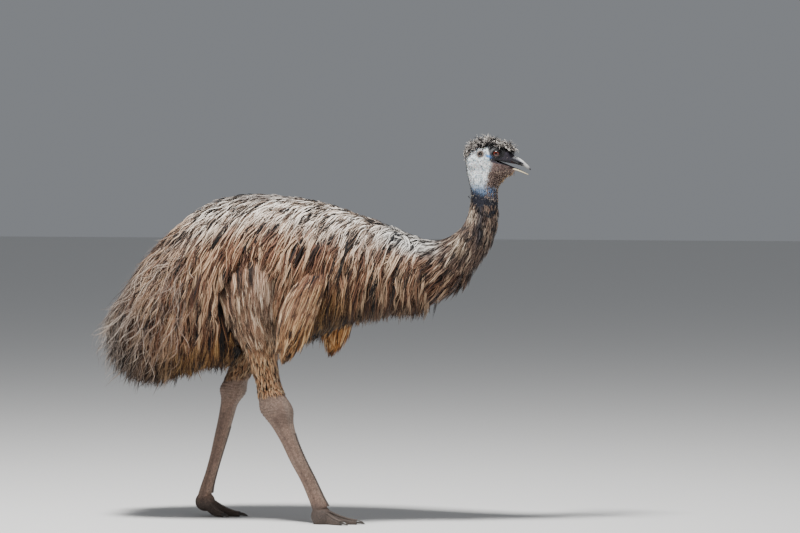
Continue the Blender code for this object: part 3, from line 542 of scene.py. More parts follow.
def node(tree, kind, links=(), **settings):
    """Adds a node with its settings, and links or sets its inputs."""
    made = tree.nodes.new(kind)
    for key, value in settings.items():
        setattr(made, key, value)
    for key, value in dict(links).items():
        if isinstance(value, bpy.types.NodeSocket):
            tree.links.new(value, made.inputs[key])
        else:
            made.inputs[key].default_value = value
    return made


def finish_of(name, roughness, **sockets):
    """A new Principled material, its node tree and its shader."""
    made = bpy.data.materials.new(name)
    made.use_nodes = True
    shader = made.node_tree.nodes["Principled BSDF"]
    shader.inputs["Roughness"].default_value = roughness
    for key, value in sockets.items():
        shader.inputs[key.replace("_", " ")].default_value = value
    return made, made.node_tree, shader


def shaded(tree, shader, tint, level):
    """Colours a finish by its tint, lighter or darker by a level."""
    shade = node(tree, "ShaderNodeVectorMath", {0: tint.outputs["Color"], "Scale": level.outputs[0]},
                 operation="SCALE")
    tree.links.new(shade.outputs[0], shader.inputs["Base Color"])


def raised(tree, shader, height, strength, depth):
    """Gives a finish a fine relief, its depth in metres."""
    relief = node(tree, "ShaderNodeBump", {"Strength": strength, "Distance": depth, "Height": height})
    tree.links.new(relief.outputs[0], shader.inputs["Normal"])


# Skin under plumage: thin and dry, seen only between feathers, where its colour is painted shade.
downy_skin, tree, shader = finish_of("skin under plumage", 0.9, IOR=1.45)
where = node(tree, "ShaderNodeTexCoord")
tint = node(tree, "ShaderNodeAttribute", attribute_name="tint")
mottle = node(tree, "ShaderNodeTexNoise", {"Vector": where.outputs["Object"], "Scale": 180.0, "Detail": 4.0})
tree.links.new(
    node(tree, "ShaderNodeMix", {0: 0.5, 6: tint.outputs["Color"], 7: mottle.outputs["Fac"]},
         data_type="RGBA", blend_type="MULTIPLY").outputs[2],
    shader.inputs["Base Color"])

# Bare neck and face skin: fine pores and soft creases, faintly moist, so light spreads in it a little.
bare_skin, tree, shader = finish_of("bare neck skin", 0.55, IOR=1.42)
shader.inputs["Subsurface Weight"].default_value = 0.12
shader.inputs["Subsurface Radius"].default_value = (0.0030, 0.0014, 0.0010)
where = node(tree, "ShaderNodeTexCoord")
tint = node(tree, "ShaderNodeAttribute", attribute_name="tint")
pores = node(tree, "ShaderNodeTexVoronoi",
             {"Vector": where.outputs["Object"], "Scale": 520.0, "Randomness": 1.0})
mottle = node(tree, "ShaderNodeTexNoise", {"Vector": where.outputs["Object"], "Scale": 90.0, "Detail": 6.0})
level = node(tree, "ShaderNodeMapRange", {"Value": mottle.outputs["Fac"], 1: 0.3, 2: 0.7, 3: 0.72, 4: 1.12})
shaded(tree, shader, tint, level)
creases = node(tree, "ShaderNodeTexNoise", {"Vector": where.outputs["Object"], "Scale": 260.0, "Detail": 3.0})
height = node(tree, "ShaderNodeMath", {0: pores.outputs["Distance"], 1: creases.outputs["Fac"]},
              operation="ADD")
raised(tree, shader, height.outputs[0], 0.35, 0.0006)

# Leg skin: horny, six-sided plates about 5 mm across with darker dirt in the joints between them.
leg_horn, tree, shader = finish_of("scaly leg horn", 0.62, IOR=1.5)
where = node(tree, "ShaderNodeTexCoord")
tint = node(tree, "ShaderNodeAttribute", attribute_name="tint")
squash = node(tree, "ShaderNodeMapping", {"Vector": where.outputs["Object"], "Scale": (1.0, 1.0, 1.25)})
plates = node(tree, "ShaderNodeTexVoronoi", {"Vector": squash.outputs[0], "Scale": 210.0, "Randomness": 0.75},
              feature="DISTANCE_TO_EDGE")
cells = node(tree, "ShaderNodeTexVoronoi", {"Vector": squash.outputs[0], "Scale": 210.0, "Randomness": 0.75})
joint = node(tree, "ShaderNodeMapRange",
             {"Value": plates.outputs["Distance"], 1: 0.02, 2: 0.16, 3: 0.0, 4: 1.0})
spread = node(tree, "ShaderNodeSeparateColor", {"Color": cells.outputs["Color"]})
level = node(tree, "ShaderNodeMapRange", {"Value": spread.outputs[0], 3: 0.80, 4: 1.22})
lit = node(tree, "ShaderNodeMath", {0: joint.outputs[0], 1: 0.52, 2: 0.48}, operation="MULTIPLY_ADD")
both = node(tree, "ShaderNodeMath", {0: lit.outputs[0], 1: level.outputs[0]}, operation="MULTIPLY")
shaded(tree, shader, tint, both)
dome = node(tree, "ShaderNodeMapRange",
            {"Value": plates.outputs["Distance"], 1: 0.0, 2: 0.30, 3: 0.0, 4: 1.0},
            interpolation_type="SMOOTHSTEP")
raised(tree, shader, dome.outputs[0], 0.7, 0.0012)

# Painted shade: the skin under the plumage takes the plumage's colour at a sixth of its brightness.
SHADE_UNDER = 0.16
TONE_UNDER = 0.35
points = corners_of(body.data)
tinted(body.data, SHADE_UNDER * plumage(points, np.full(len(points), TONE_UNDER)))
body.data.materials.append(downy_skin)
points = corners_of(head.data)
tinted(head.data, bare(points))
head.data.materials.append(bare_skin)
points = corners_of(shanks.data)
x, y, z = points.T
grime = blotch(points, 14) * 0.5 + blotch(points, 160, 5.0) * 0.35
leg_colour = ramp(0.5 + 0.6 * grime, "#4f3c32", "#8f7363", "#b39988")
for side_name, leg in LEGS.items():
    near = y * SIDES[side_name] > 0
    ahead = np.interp(z, leg[::-1, 1], leg[::-1, 0])
    behind = np.interp(z, leg[::-1, 3], leg[::-1, 2])
    share = (x - behind) / (ahead - behind)
    leg_colour = mixed(leg_colour, linear("#b8a394"), near * 0.50 * step_up(share, 0.75, 1.0) * (z > 0.07))
    leg_colour *= (1 - 0.26 * near * np.exp(-((z - HOCK_HEIGHT[side_name]) / 0.045) ** 2))[:, None]
    furrow = near * 0.45 * np.exp(-((share - 0.42) / 0.10) ** 2) * (z < 0.33)
    leg_colour = mixed(leg_colour, linear("#4a342c"), furrow)
leg_colour = mixed(leg_colour, linear("#55473f"), step_up(0.075 - z, 0, 0.04))
tinted(shanks.data, leg_colour)
shanks.data.materials.append(leg_horn)
face = head.data.copy()
skin = joined("skin", body, head, shanks)
skin.data.shade_smooth()
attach(skin, "root")
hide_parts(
    "torso", "tail", "neck_base", "neck_middle", "neck_upper", "head",
    *[part + "_" + side for part in ("wing", "leg", "tarsus", "foot") for side in SIDES],
)

# The plumage: long, loose, double-shafted feathers like coarse hair, parted along the back and hanging free.
# Each lock grows from the skin, is led along the lie of the plumage and falls to the hem, in narrow strands.
COAT_REACH = np.array([
    (-0.690, 0.560, -0.690, 0.540, 0.010, 0), (-0.686, 0.590, -0.680, 0.480, 0.085, 0),
    (-0.655, 0.650, -0.645, 0.445, 0.135, 0), (-0.600, 0.722, -0.590, 0.437, 0.165, 0),
    (-0.514, 0.834, -0.500, 0.426, 0.188, 0), (-0.440, 0.907, -0.430, 0.455, 0.202, 0),
    (-0.371, 0.967, -0.371, 0.475, 0.212, 0), (-0.292, 1.006, -0.292, 0.480, 0.219, 0),
    (-0.210, 1.016, -0.210, 0.490, 0.223, 0), (-0.125, 1.010, -0.125, 0.512, 0.222, 0),
    (-0.039, 1.000, -0.039, 0.555, 0.213, 0), (0.040, 0.985, 0.040, 0.606, 0.195, 0),
    (0.110, 0.962, 0.110, 0.630, 0.174, 0), (0.190, 0.937, 0.190, 0.642, 0.148, 0),
    (0.263, 0.910, 0.263, 0.650, 0.125, 0), (0.325, 0.885, 0.345, 0.648, 0.109, 0),
    (0.378, 0.876, 0.412, 0.670, 0.094, 0), (0.425, 0.887, 0.485, 0.712, 0.079, 0),
    (0.455, 0.902, 0.514, 0.775, 0.068, 0), (0.480, 0.923, 0.545, 0.823, 0.060, 0),
    (0.496, 0.948, 0.573, 0.870, 0.052, 0), (0.503, 0.975, 0.587, 0.925, 0.045, 0),
    (0.504, 1.000, 0.588, 0.973, 0.040, 0), (0.501, 1.028, 0.583, 1.012, 0.038, 0),
])
LOCK_STEPS = 14
STRAND_STEPS = 5
PIECE_STRANDS = 20000
PATCH = 0.003
chance = np.random.default_rng(7)


def tree_of(*parts):
    """A search tree for the surface of some closed limbs."""
    return BVHTree.FromPolygons(*merged(parts))


def nearest(tree, points):
    """The nearest points of a surface, and its ways out there."""
    found = [tree.find_nearest(p)[:2] for p in points.tolist()]
    return np.array([f[0] for f in found]), np.array([f[1] for f in found])


def room(tree, points, outs, least, most):
    """How deep the plumage may stand over points of the skin."""
    hits = [tree.ray_cast(p, o)[3] for p, o in zip(points.tolist(), outs.tolist())]
    return np.clip([least if hit is None else hit for hit in hits], least, most)


def sown(rows, first, last, gap, low=-math.pi, high=math.pi):
    """Roots a gap apart all over part of a limb, as places and angles."""
    fine = np.linspace(first, last, 300)
    lines = [surface(rows, fine, np.full(300, a)) for a in (low, (low + high) / 2)]
    run = sum(np.r_[0, np.cumsum(np.linalg.norm(np.diff(line, axis=0), axis=1))] for line in lines) / 2
    at = np.interp(np.arange(gap / 2, run[-1], gap), run, fine)
    sweep = np.linspace(low, high, 65)
    places, angles = [], []
    for place in at:
        ring = surface(rows, np.full(65, place), sweep)
        round_it = np.r_[0, np.cumsum(np.linalg.norm(np.diff(ring, axis=0), axis=1))]
        count = max(1, round(round_it[-1] / gap))
        share = (np.arange(count) + chance.random(count)) / count
        angles.append(np.interp(share * round_it[-1], round_it, sweep))
        places.append(place + (chance.random(count) - 0.5) * (last - first) * gap / run[-1])
    return np.concatenate(places), np.concatenate(angles)


def led(way, outs, rise):
    """Ways led along a surface, but for a small rise out of it."""
    return unit(way - outs * ((way * outs).sum(-1, keepdims=True) - rise))


def grown(roots, outs, start, fall, length, skin_tree, reach_tree=None, layer=1.0, deep=(0.004, 0.11),
          cling=0.3, rise=0.6):
    """The paths of locks that grow from roots, kept over the skin, and the ways out along them."""
    here, out, way = roots.copy(), outs.copy(), start.copy()
    path, facing = [here], [out]
    for k in range(1, LOCK_STEPS + 1):
        s = k / LOCK_STEPS
        way = unit(start * (1 - s) + fall * s * 1.2 + way * 0.4)
        here = here + way * (length / LOCK_STEPS)[:, None]
        skin_at, n = nearest(skin_tree, here)
        if reach_tree is None:
            stand = layer * deep[1] * s ** rise
        else:
            stand = layer * room(reach_tree, skin_at, n, *deep) * (0.12 + 0.88 * s ** rise)
        high = ((here - skin_at) * n).sum(-1)
        push = np.maximum(stand - high, 0)
        hug = np.maximum(high - stand, 0) * step_up(n[:, 2], -0.25, 0.25) * cling
        here = here + n * (push - hug)[:, None]
        out = unit(out * 0.6 + n * 0.4)
        path.append(here)
        facing.append(out)
    return np.stack(path, 1), np.stack(facing, 1)


def cut_at_hem(path, facing, hem, over, ends=-1.0):
    """Locks that end where they cross the hem, and which of them are long enough to keep."""
    lowest = np.interp(path[:, :, 0], hem[:, 0], hem[:, 1]) - over[:, None]
    below = path[:, :, 2] < np.maximum(lowest, ends)
    below[:, -1] = True
    end = below.argmax(1) / LOCK_STEPS
    keep = end > 2.5 / LOCK_STEPS
    t = np.linspace(0, 1, LOCK_STEPS + 1) * end[keep, None] * LOCK_STEPS
    return sampled(path[keep], t), unit(sampled(facing[keep], t)), keep


def sampled(path, t):
    """Points along each path, at places counted in its steps."""
    near = np.clip(np.floor(t).astype(int), 0, path.shape[1] - 2)
    share = (t - near)[..., None]
    row = np.arange(len(path))[:, None]
    return path[row, near] * (1 - share) + path[row, near + 1] * share


def strands(path, facing, per_lock, half_lock, width, curl=0.0, ragged=0.3, bulk=0.004, roll=0.5,
            steps=STRAND_STEPS, turns=(0.5, 1.6), together=0.7):
    """The ribbons of locks: middle lines, half widths, lock numbers, shares along and heights in them."""
    locks = len(path)
    lock = np.repeat(np.arange(locks), per_lock)
    count = len(lock)
    first = chance.random(count) * 0.12
    last = 1 - ragged * chance.random(count) ** 1.5
    s = first[:, None] + (last - first)[:, None] * np.linspace(0, 1, steps + 1)
    middle = sampled(path[lock], s * LOCK_STEPS)
    out = unit(sampled(facing[lock], s * LOCK_STEPS))
    along = unit(np.gradient(middle, axis=1))
    side = unit(np.cross(along, out))
    out = np.cross(side, along)
    lie = chance.uniform(-1, 1, count)[:, None]
    phase = (chance.random(locks)[lock] + (1 - together) * chance.random(count))[:, None] * math.tau
    turns = chance.uniform(*turns, locks)[lock][:, None]
    wave = np.sin(phase + turns * math.tau * s) - np.sin(phase)
    size = np.broadcast_to(half_lock, locks)[lock][:, None]
    curls = (np.broadcast_to(curl, locks)[lock] * chance.uniform(0.5, 1.4, locks)[lock])[:, None]
    lateral = lie * size * (1 + (1 - 2 * s) * 0.6) + curls * s * wave
    high = chance.random(count)
    lift = bulk * (high[:, None] - 0.35) * np.sin(math.pi * np.minimum(1, s * 1.2)) ** 0.7
    lift = lift + 0.4 * curls * s * np.cos(phase + turns * math.tau * s)
    middle = middle + side * lateral[..., None] + out * lift[..., None]
    tilt = (roll * chance.uniform(-1, 1, count) - 0.35 * lie[:, 0])[:, None, None]
    edge = side * np.cos(tilt) + out * np.sin(tilt)
    wide = np.broadcast_to(width, locks)[lock] * chance.uniform(0.7, 1.3, count) / 2
    shape = np.interp(np.linspace(0, 1, steps + 1), (0, 0.2, 0.4, 0.6, 0.8, 1), (0.65, 1, 1, 0.85, 0.55, 0))
    edge = edge * (wide[:, None] * shape)[..., None]
    return middle, edge, lock, s, high


def coat_piece(name, middle, edge, tint, patch_at, material):
    """Mesh pieces of flat, pointed strands, each with its patch on the unwrap of the skin."""
    for part, start in enumerate(range(0, len(middle), PIECE_STRANDS)):
        some = slice(start, start + PIECE_STRANDS)
        m, e, c, uv = middle[some], edge[some], tint[some], patch_at[some]
        count, steps = len(m), m.shape[1] - 1
        points = np.concatenate([m[:, :-1] - e[:, :-1], m[:, :-1] + e[:, :-1], m[:, -1:]], 1)
        near = np.arange(steps - 1)
        across = near + steps
        pairs = np.stack([near, across, across + 1, near, across + 1, near + 1], -1).reshape(-1, 3)
        faces = np.concatenate([pairs, [(steps - 1, 2 * steps - 1, 2 * steps)]])
        each = 2 * steps + 1
        faces = (faces[None] + (np.arange(count) * each)[:, None, None]).reshape(-1, 3)
        mesh = bpy.data.meshes.new(name)
        mesh.vertices.add(count * each)
        mesh.vertices.foreach_set("co", points.astype(np.float32).ravel())
        mesh.loops.add(faces.size)
        mesh.loops.foreach_set("vertex_index", faces.astype(np.int32).ravel())
        mesh.polygons.add(len(faces))
        mesh.polygons.foreach_set("loop_start", np.arange(0, faces.size, 3, dtype=np.int32))
        mesh.update(calc_edges=True)
        colours = np.concatenate([c[:, :-1], c[:, :-1], c[:, -1:]], 1).reshape(-1, 3)
        tinted(mesh, colours)
        share = np.linspace(0, 1, steps + 1)
        u = np.r_[np.full(steps, -0.5), np.full(steps, 0.5), 0.0]
        v = np.r_[share[:-1], share[:-1], 1.0]
        spot = np.stack([u, v - 0.5], -1) * PATCH + uv[:, None]
        layer = mesh.uv_layers.new(name="OFBake")
        layer.data.foreach_set("uv", spot.reshape(-1, 2)[faces.ravel()].astype(np.float32).ravel())
        thread = np.broadcast_to(np.stack([u * 2, v, v], -1), (count, each, 3)).copy()
        thread[:, :, 2] = chance.random(count)[:, None]
        noted(mesh, "strand", "FLOAT_VECTOR", thread)
        mesh.materials.append(material)
        mesh.shade_smooth()
        piece = shown(name + "_" + str(part + 1), mesh)
        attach(piece, "root")


# Feather barbs: dull keratin threads; a faint sheen, and fine cross lines drawn 2 mm apart so that they show.
feather, tree, shader = finish_of("loose feather barbs", 0.72, IOR=1.54)
shader.inputs["Sheen Weight"].default_value = 0.15
shader.inputs["Sheen Roughness"].default_value = 0.5
shader.inputs["Specular IOR Level"].default_value = 0.25
tint = node(tree, "ShaderNodeAttribute", attribute_name="tint")
strand = node(tree, "ShaderNodeAttribute", attribute_name="strand")
where = node(tree, "ShaderNodeTexCoord")
fleck = node(tree, "ShaderNodeTexNoise", {"Vector": where.outputs["Object"], "Scale": 420.0, "Detail": 2.0})
level = node(tree, "ShaderNodeMapRange", {"Value": fleck.outputs["Fac"], 1: 0.3, 2: 0.7, 3: 0.72, 4: 1.25})
shaded(tree, shader, tint, level)
axes = node(tree, "ShaderNodeSeparateXYZ", {0: strand.outputs["Vector"]})
keel = node(tree, "ShaderNodeMath", {0: axes.outputs[0], 1: axes.outputs[0]}, operation="MULTIPLY")
lines = node(tree, "ShaderNodeMath", {0: axes.outputs[1], 1: 300.0}, operation="MULTIPLY")
barbs = node(tree, "ShaderNodeMath", {0: lines.outputs[0]}, operation="SINE")
height = node(tree, "ShaderNodeMath", {0: barbs.outputs[0], 1: 0.25, 2: keel.outputs[0]},
              operation="MULTIPLY_ADD")
raised(tree, shader, height.outputs[0], 0.5, -0.0006)

trunk_tree = tree_of(tube(TRUNK, 110, 56), *[tube(leg, 60, 24, last=9) for leg in LEGS.values()])
reach_tree = tree_of(tube(COAT_REACH, 110, 56))


def toned(base, lock, s, high, spread=0.13, lock_spread=0.20, tip=0.14, depth=0.30):
    """How light each strand is along itself: dark at its root, pale past the middle, and lighter on top of
    its lock and darker deep in it as painted light and shade.
    """
    by_lock = chance.normal(0, lock_spread, lock.max() + 1)[lock]
    by_strand = chance.normal(0, spread, len(lock)) + depth * (high - 0.5)
    return np.clip((base + by_lock + by_strand)[:, None] + tip * (np.clip(s, 0, 0.8) / 0.8 * 2 - 1), 0, 1)


def coloured(middle, lock, roots, tone, marks=plumage):
    """Colours along strands, read from the markings halfway between each strand's root and itself."""
    at = middle * 0.55 + roots[lock][:, None] * 0.45
    steps = middle.shape[1]
    colour = marks(at.reshape(-1, 3), tone.ravel())
    if marks is plumage:
        colour = colour * hem_shade(middle.reshape(-1, 3), tone.ravel())
    return colour.reshape(-1, steps, 3)


def patched(place, angle, rows, left, right):
    """Each root's place on the unwrap, inside a strip from left to right."""
    u = left + (right - left) * (place / (len(rows) - 1))
    return np.stack([u, 0.02 + 0.96 * (angle / math.tau + 0.5)], -1)


# The trunk's plumage: long locks from the parting along the back down to the hem.
# Over each thigh it ends high up, in a groove where the leg's own plumage starts; the strands there are
# painted dark as shade.
TRUNK_GAP = 0.0102
THIGH_TOP = 0.835


def thigh_edges(leg, z):
    """How far back and how far ahead a thigh reaches at a height."""
    return np.interp(z, leg[6:0:-1, 3], leg[6:0:-1, 2]), np.interp(z, leg[6:0:-1, 1], leg[6:0:-1, 0])


def over_thigh(points, extra=0.0):
    """Which points stand over a thigh, from the side, and how high the thigh shows there."""
    x, y, z = np.moveaxis(points, -1, 0)
    inside = np.zeros(z.shape, bool)
    top = np.zeros(z.shape)
    for side_name, leg in LEGS.items():
        back, front = thigh_edges(leg, z)
        front = front + 0.010 + extra
        back = back - 0.014 - extra
        here = (x > back) & (x < front) & (y * SIDES[side_name] > 0.10)
        inside |= here
        share = (x - back) / (front - back)
        top[here] = (THIGH_TOP - 0.30 * (share - 0.55) ** 2)[here]
    return inside, top


place, angle = sown(TRUNK, 0.6, 11.6, TRUNK_GAP)
roots = surface(TRUNK, place, angle)
inside, top = over_thigh(roots)
hidden = inside & (roots[:, 2] < top - 0.02) & (roots[:, 2] > 0.60)
place, angle, roots = place[~hidden], angle[~hidden], roots[~hidden]
outs = outward(TRUNK, place, angle)
round_it = np.degrees(np.abs(angle))
side = np.sign(angle)
x = roots[:, 0]
rear = step_up(-x, 0.28, 0.50)
front = step_up(x, -0.02, 0.20)
back = np.interp(round_it, (0, 30, 60, 90, 180), (1.0, 0.85, 0.50, 0.22, 0.20))
down = np.interp(round_it, (0, 30, 60, 90, 180), (0.05, 0.40, 0.85, 1.0, 1.0)) + 0.8 * rear
apart = np.interp(round_it, (0, 12, 40, 75, 180), (0.1, 0.75, 0.60, 0.15, 0.0)) * (1 - 0.6 * rear)
back = back * (1 - 0.35 * front)
start = np.stack([-back, side * apart, -down], -1)
start += chance.normal(0, 1, start.shape) * np.where(chance.random(len(x)) < 0.12, 0.42, 0.15)[:, None]
start = led(start, outs, 0.12)
fall = np.stack([-0.14 - 0.20 * rear - 0.04 * front, 0.02 * side, -1 + 0 * x], -1)
fall += chance.normal(0, 0.08, fall.shape)
length = np.interp(round_it, (0, 40, 90, 150, 180), (0.085, 0.125, 0.165, 0.120, 0.09)) * (1 + 0.45 * rear)
length *= chance.uniform(0.7, 1.15, len(x))
inside, top = over_thigh(roots, 0.014)
groove = inside & (roots[:, 2] < top - 0.015)
over_wing = (np.abs(x - 0.035) < 0.07) & (roots[:, 2] > 0.77) & (roots[:, 2] < 0.90) & (round_it < 100)
length = length * np.where(over_wing, 1.2, 1.0)
layer = chance.uniform(0.35, 1.0, len(x)) * np.where(groove, 0.45, 1.0) + 0.35 * over_wing
path, facing = grown(roots, outs, start, fall, length, trunk_tree, reach_tree, layer)
over = chance.normal(0.004, 0.014, len(x))
inside, top = over_thigh(path)
ends = np.where(inside, top - 0.012, -1) + chance.normal(0, 0.026, len(x))[:, None]
path, facing, keep = cut_at_hem(path, facing, HEM, over, ends)
roots, place, angle = roots[keep], place[keep], angle[keep]
rear, groove = rear[keep], groove[keep]
middle, edge, lock, s, high = strands(path, facing, 8, 0.0050, 0.0027, curl=0.007 + 0.009 * rear, bulk=0.012)
ridge = ridge_at(roots[:, 0])
on_top = step_up(roots[:, 2], ridge - 0.13, ridge - 0.03)
# Painted shade: strands rooted in the groove over the thigh are given a dark tone.
tone = toned(np.where(groove, 0.15, 0.44)[lock], lock, s, high, lock_spread=0.30, depth=0.46)
tone = np.clip(tone + (tone - 0.56) * 0.6 * on_top[lock][:, None], 0, 1)
tint = coloured(middle, lock, roots, tone)
coat_piece("trunk_plumage", middle, edge, tint, patched(place, angle, TRUNK, 0.01, 0.60)[lock], feather)

# Wisps: single long curly threads that stray from the tail, the hem and the back.
# They are loose barbs of the same feathers, and those that would stand too far off the body are left out.
WISPS = 1000
STRAY_BACK = (0.030, 0.006, 0.0)
STRAY_AHEAD = (0.0, 0.006, 0.020)


def wisp_marks(points, tone):
    """Wisps are greyer than the plumage under them, and the hem's shade doesn't reach them."""
    grey = ramp(tone, "#17120f", "#5a4c43", "#a39486", "#d9cec2")
    return mixed(plumage(points, tone), grey, np.full(len(points), 0.5))


place = np.concatenate([chance.uniform(0.8, 4.0, WISPS), chance.uniform(3, 11, WISPS // 3)])
angle = np.concatenate([chance.uniform(-2.2, 2.2, WISPS), chance.uniform(-0.9, 0.9, WISPS // 3)])
roots = surface(TRUNK, place, angle)
outs = outward(TRUNK, place, angle)
keep = ~over_thigh(roots, 0.02)[0]
place, angle, roots, outs = place[keep], angle[keep], roots[keep], outs[keep]
tail_end = place < 4
start = np.where(tail_end[:, None], (-0.45, 0, -0.9), (-0.9, 0, 0.05)) + np.stack(
    [0 * angle, 0.35 * np.sign(angle), 0 * angle], -1) + chance.normal(0, 0.25, roots.shape)
start = led(start, outs, 0.2)
fall = unit((-0.25, 0, -0.9) + chance.normal(0, 0.30, roots.shape))
length = np.where(tail_end, chance.uniform(0.16, 0.27, len(place)), chance.uniform(0.07, 0.14, len(place)))
layer = chance.uniform(0.9, 1.12, len(place))
path, facing = grown(roots, outs, start, fall, length, trunk_tree, reach_tree, layer)
over = chance.normal(0.016, 0.018, len(place)) - 0.010 * tail_end
path, facing, keep = cut_at_hem(path, facing, HEM, over)
roots, place, angle, tail_end = roots[keep], place[keep], angle[keep], tail_end[keep]
curl = np.where(tail_end, 0.022, 0.008)
middle, edge, lock, s, high = strands(path, facing, 2, 0.0040, 0.0018, curl=curl, bulk=0.006, steps=10,
                                      turns=(1.0, 2.4), together=0.9)
near_enough = (middle > np.array(cad_box[0]) - STRAY_BACK) & (middle < np.array(cad_box[1]) + STRAY_AHEAD)
held = near_enough.all((1, 2))
middle, edge, lock, s, high = middle[held], edge[held], lock[held], s[held], high[held]
tone = toned(0.42, lock, s, high, tip=0.30)
tint = coloured(middle, lock, roots, tone, wisp_marks)
coat_piece("wisps", middle, edge, tint, patched(place, angle, TRUNK, 0.01, 0.60)[lock], feather)

# The neck's plumage: short and hair-like, lying down the neck, and longer at the throat and the trunk.
# It is the same loose barbs, thinning out where the bare skin begins.
NECK_GAP = 0.0070
place, angle = sown(TRUNK, 10.6, 18.4, NECK_GAP)
thin_out = step_up(place, 16.6, 18.4)
stay = chance.random(len(place)) > 0.85 * thin_out
place, angle = place[stay], angle[stay]
roots = surface(TRUNK, place, angle)
outs = outward(TRUNK, place, angle)
round_it = np.degrees(np.abs(angle))
side = np.sign(angle)
start = surface(TRUNK, place - 0.4, angle) - surface(TRUNK, place, angle)
start = unit(start) + np.stack([0 * side, 0.25 * side * np.sin(angle * side), -0.35 + 0 * side], -1)
start += chance.normal(0, 0.16, start.shape)
start = led(start, outs, 0.15)
fall = start + np.array([(-0.10, 0.0, -0.55)]) + chance.normal(0, 0.15, start.shape)
length = np.interp(place, (10.6, 12, 14, 16, 18.4), (0.105, 0.085, 0.058, 0.040, 0.020))
length = length * (1 + 0.35 * np.exp(-((place - 14.3) / 1.2) ** 2) * step_up(round_it, 120, 160))
length *= chance.uniform(0.75, 1.2, len(place))
layer = chance.uniform(0.25, 0.95, len(place))
path, facing = grown(roots, outs, start, unit(fall), length, trunk_tree, reach_tree, layer, (0.002, 0.05))
path, facing, keep = cut_at_hem(path, facing, HEM, chance.normal(0.004, 0.010, len(place)))
roots, place, angle = roots[keep], place[keep], angle[keep]
size = np.interp(place, (10.6, 13, 18), (0.0075, 0.0045, 0.0030))
wide = np.interp(place, (10.6, 13, 18), (0.0030, 0.0022, 0.0014))
middle, edge, lock, s, high = strands(path, facing, 7, size, wide, curl=0.0035, bulk=0.004)
tone = toned(0.35, lock, s, high, lock_spread=0.27, depth=0.42)
tint = coloured(middle, lock, roots, tone)
coat_piece("neck_plumage", middle, edge, tint, patched(place, angle, TRUNK, 0.01, 0.60)[lock], feather)

# The thighs and drumsticks: a full thigh outside the trunk's plumage, then short speckles down to the hock.
# On the thigh the locks stand out as far as the trunk's do; the drumstick's are short and end raggedly.
THIGH_GAP = 0.0105
LEG_GAP = 0.0080


def leg_marks(points, tone):
    """The leg's colours: a pale patch high on the thigh, then tan with black speckles; the far leg's lower
    plumage is painted darker as shade.
    """
    x, y, z = points.T
    colour = ramp(tone, "#1a110d", "#4b3427", "#86624a", "#b48f72", "#dcc1a3")
    high = step_up(z, 0.62, 0.68) * step_up(0.83 - z, 0, 0.05) * (0.15 + 0.85 * step_up(x, -0.18, -0.12))
    colour = mixed(colour, ramp(tone, "#2a1d17", "#6a4e3e", "#a07f69", "#c5a890", "#e6d3bd"), 0.7 * high)
    low = step_up(0.60 - z, 0, 0.08)
    # Painted shade: the left leg, on the far side, is darker low down.
    dark = (y > 0) * 0.45
    colour = mixed(colour, ramp(tone, "#070404", "#412515", "#b98159", "#d6a97d", "#ecd0a8"), low)
    return colour * (1 - dark * low)[:, None]


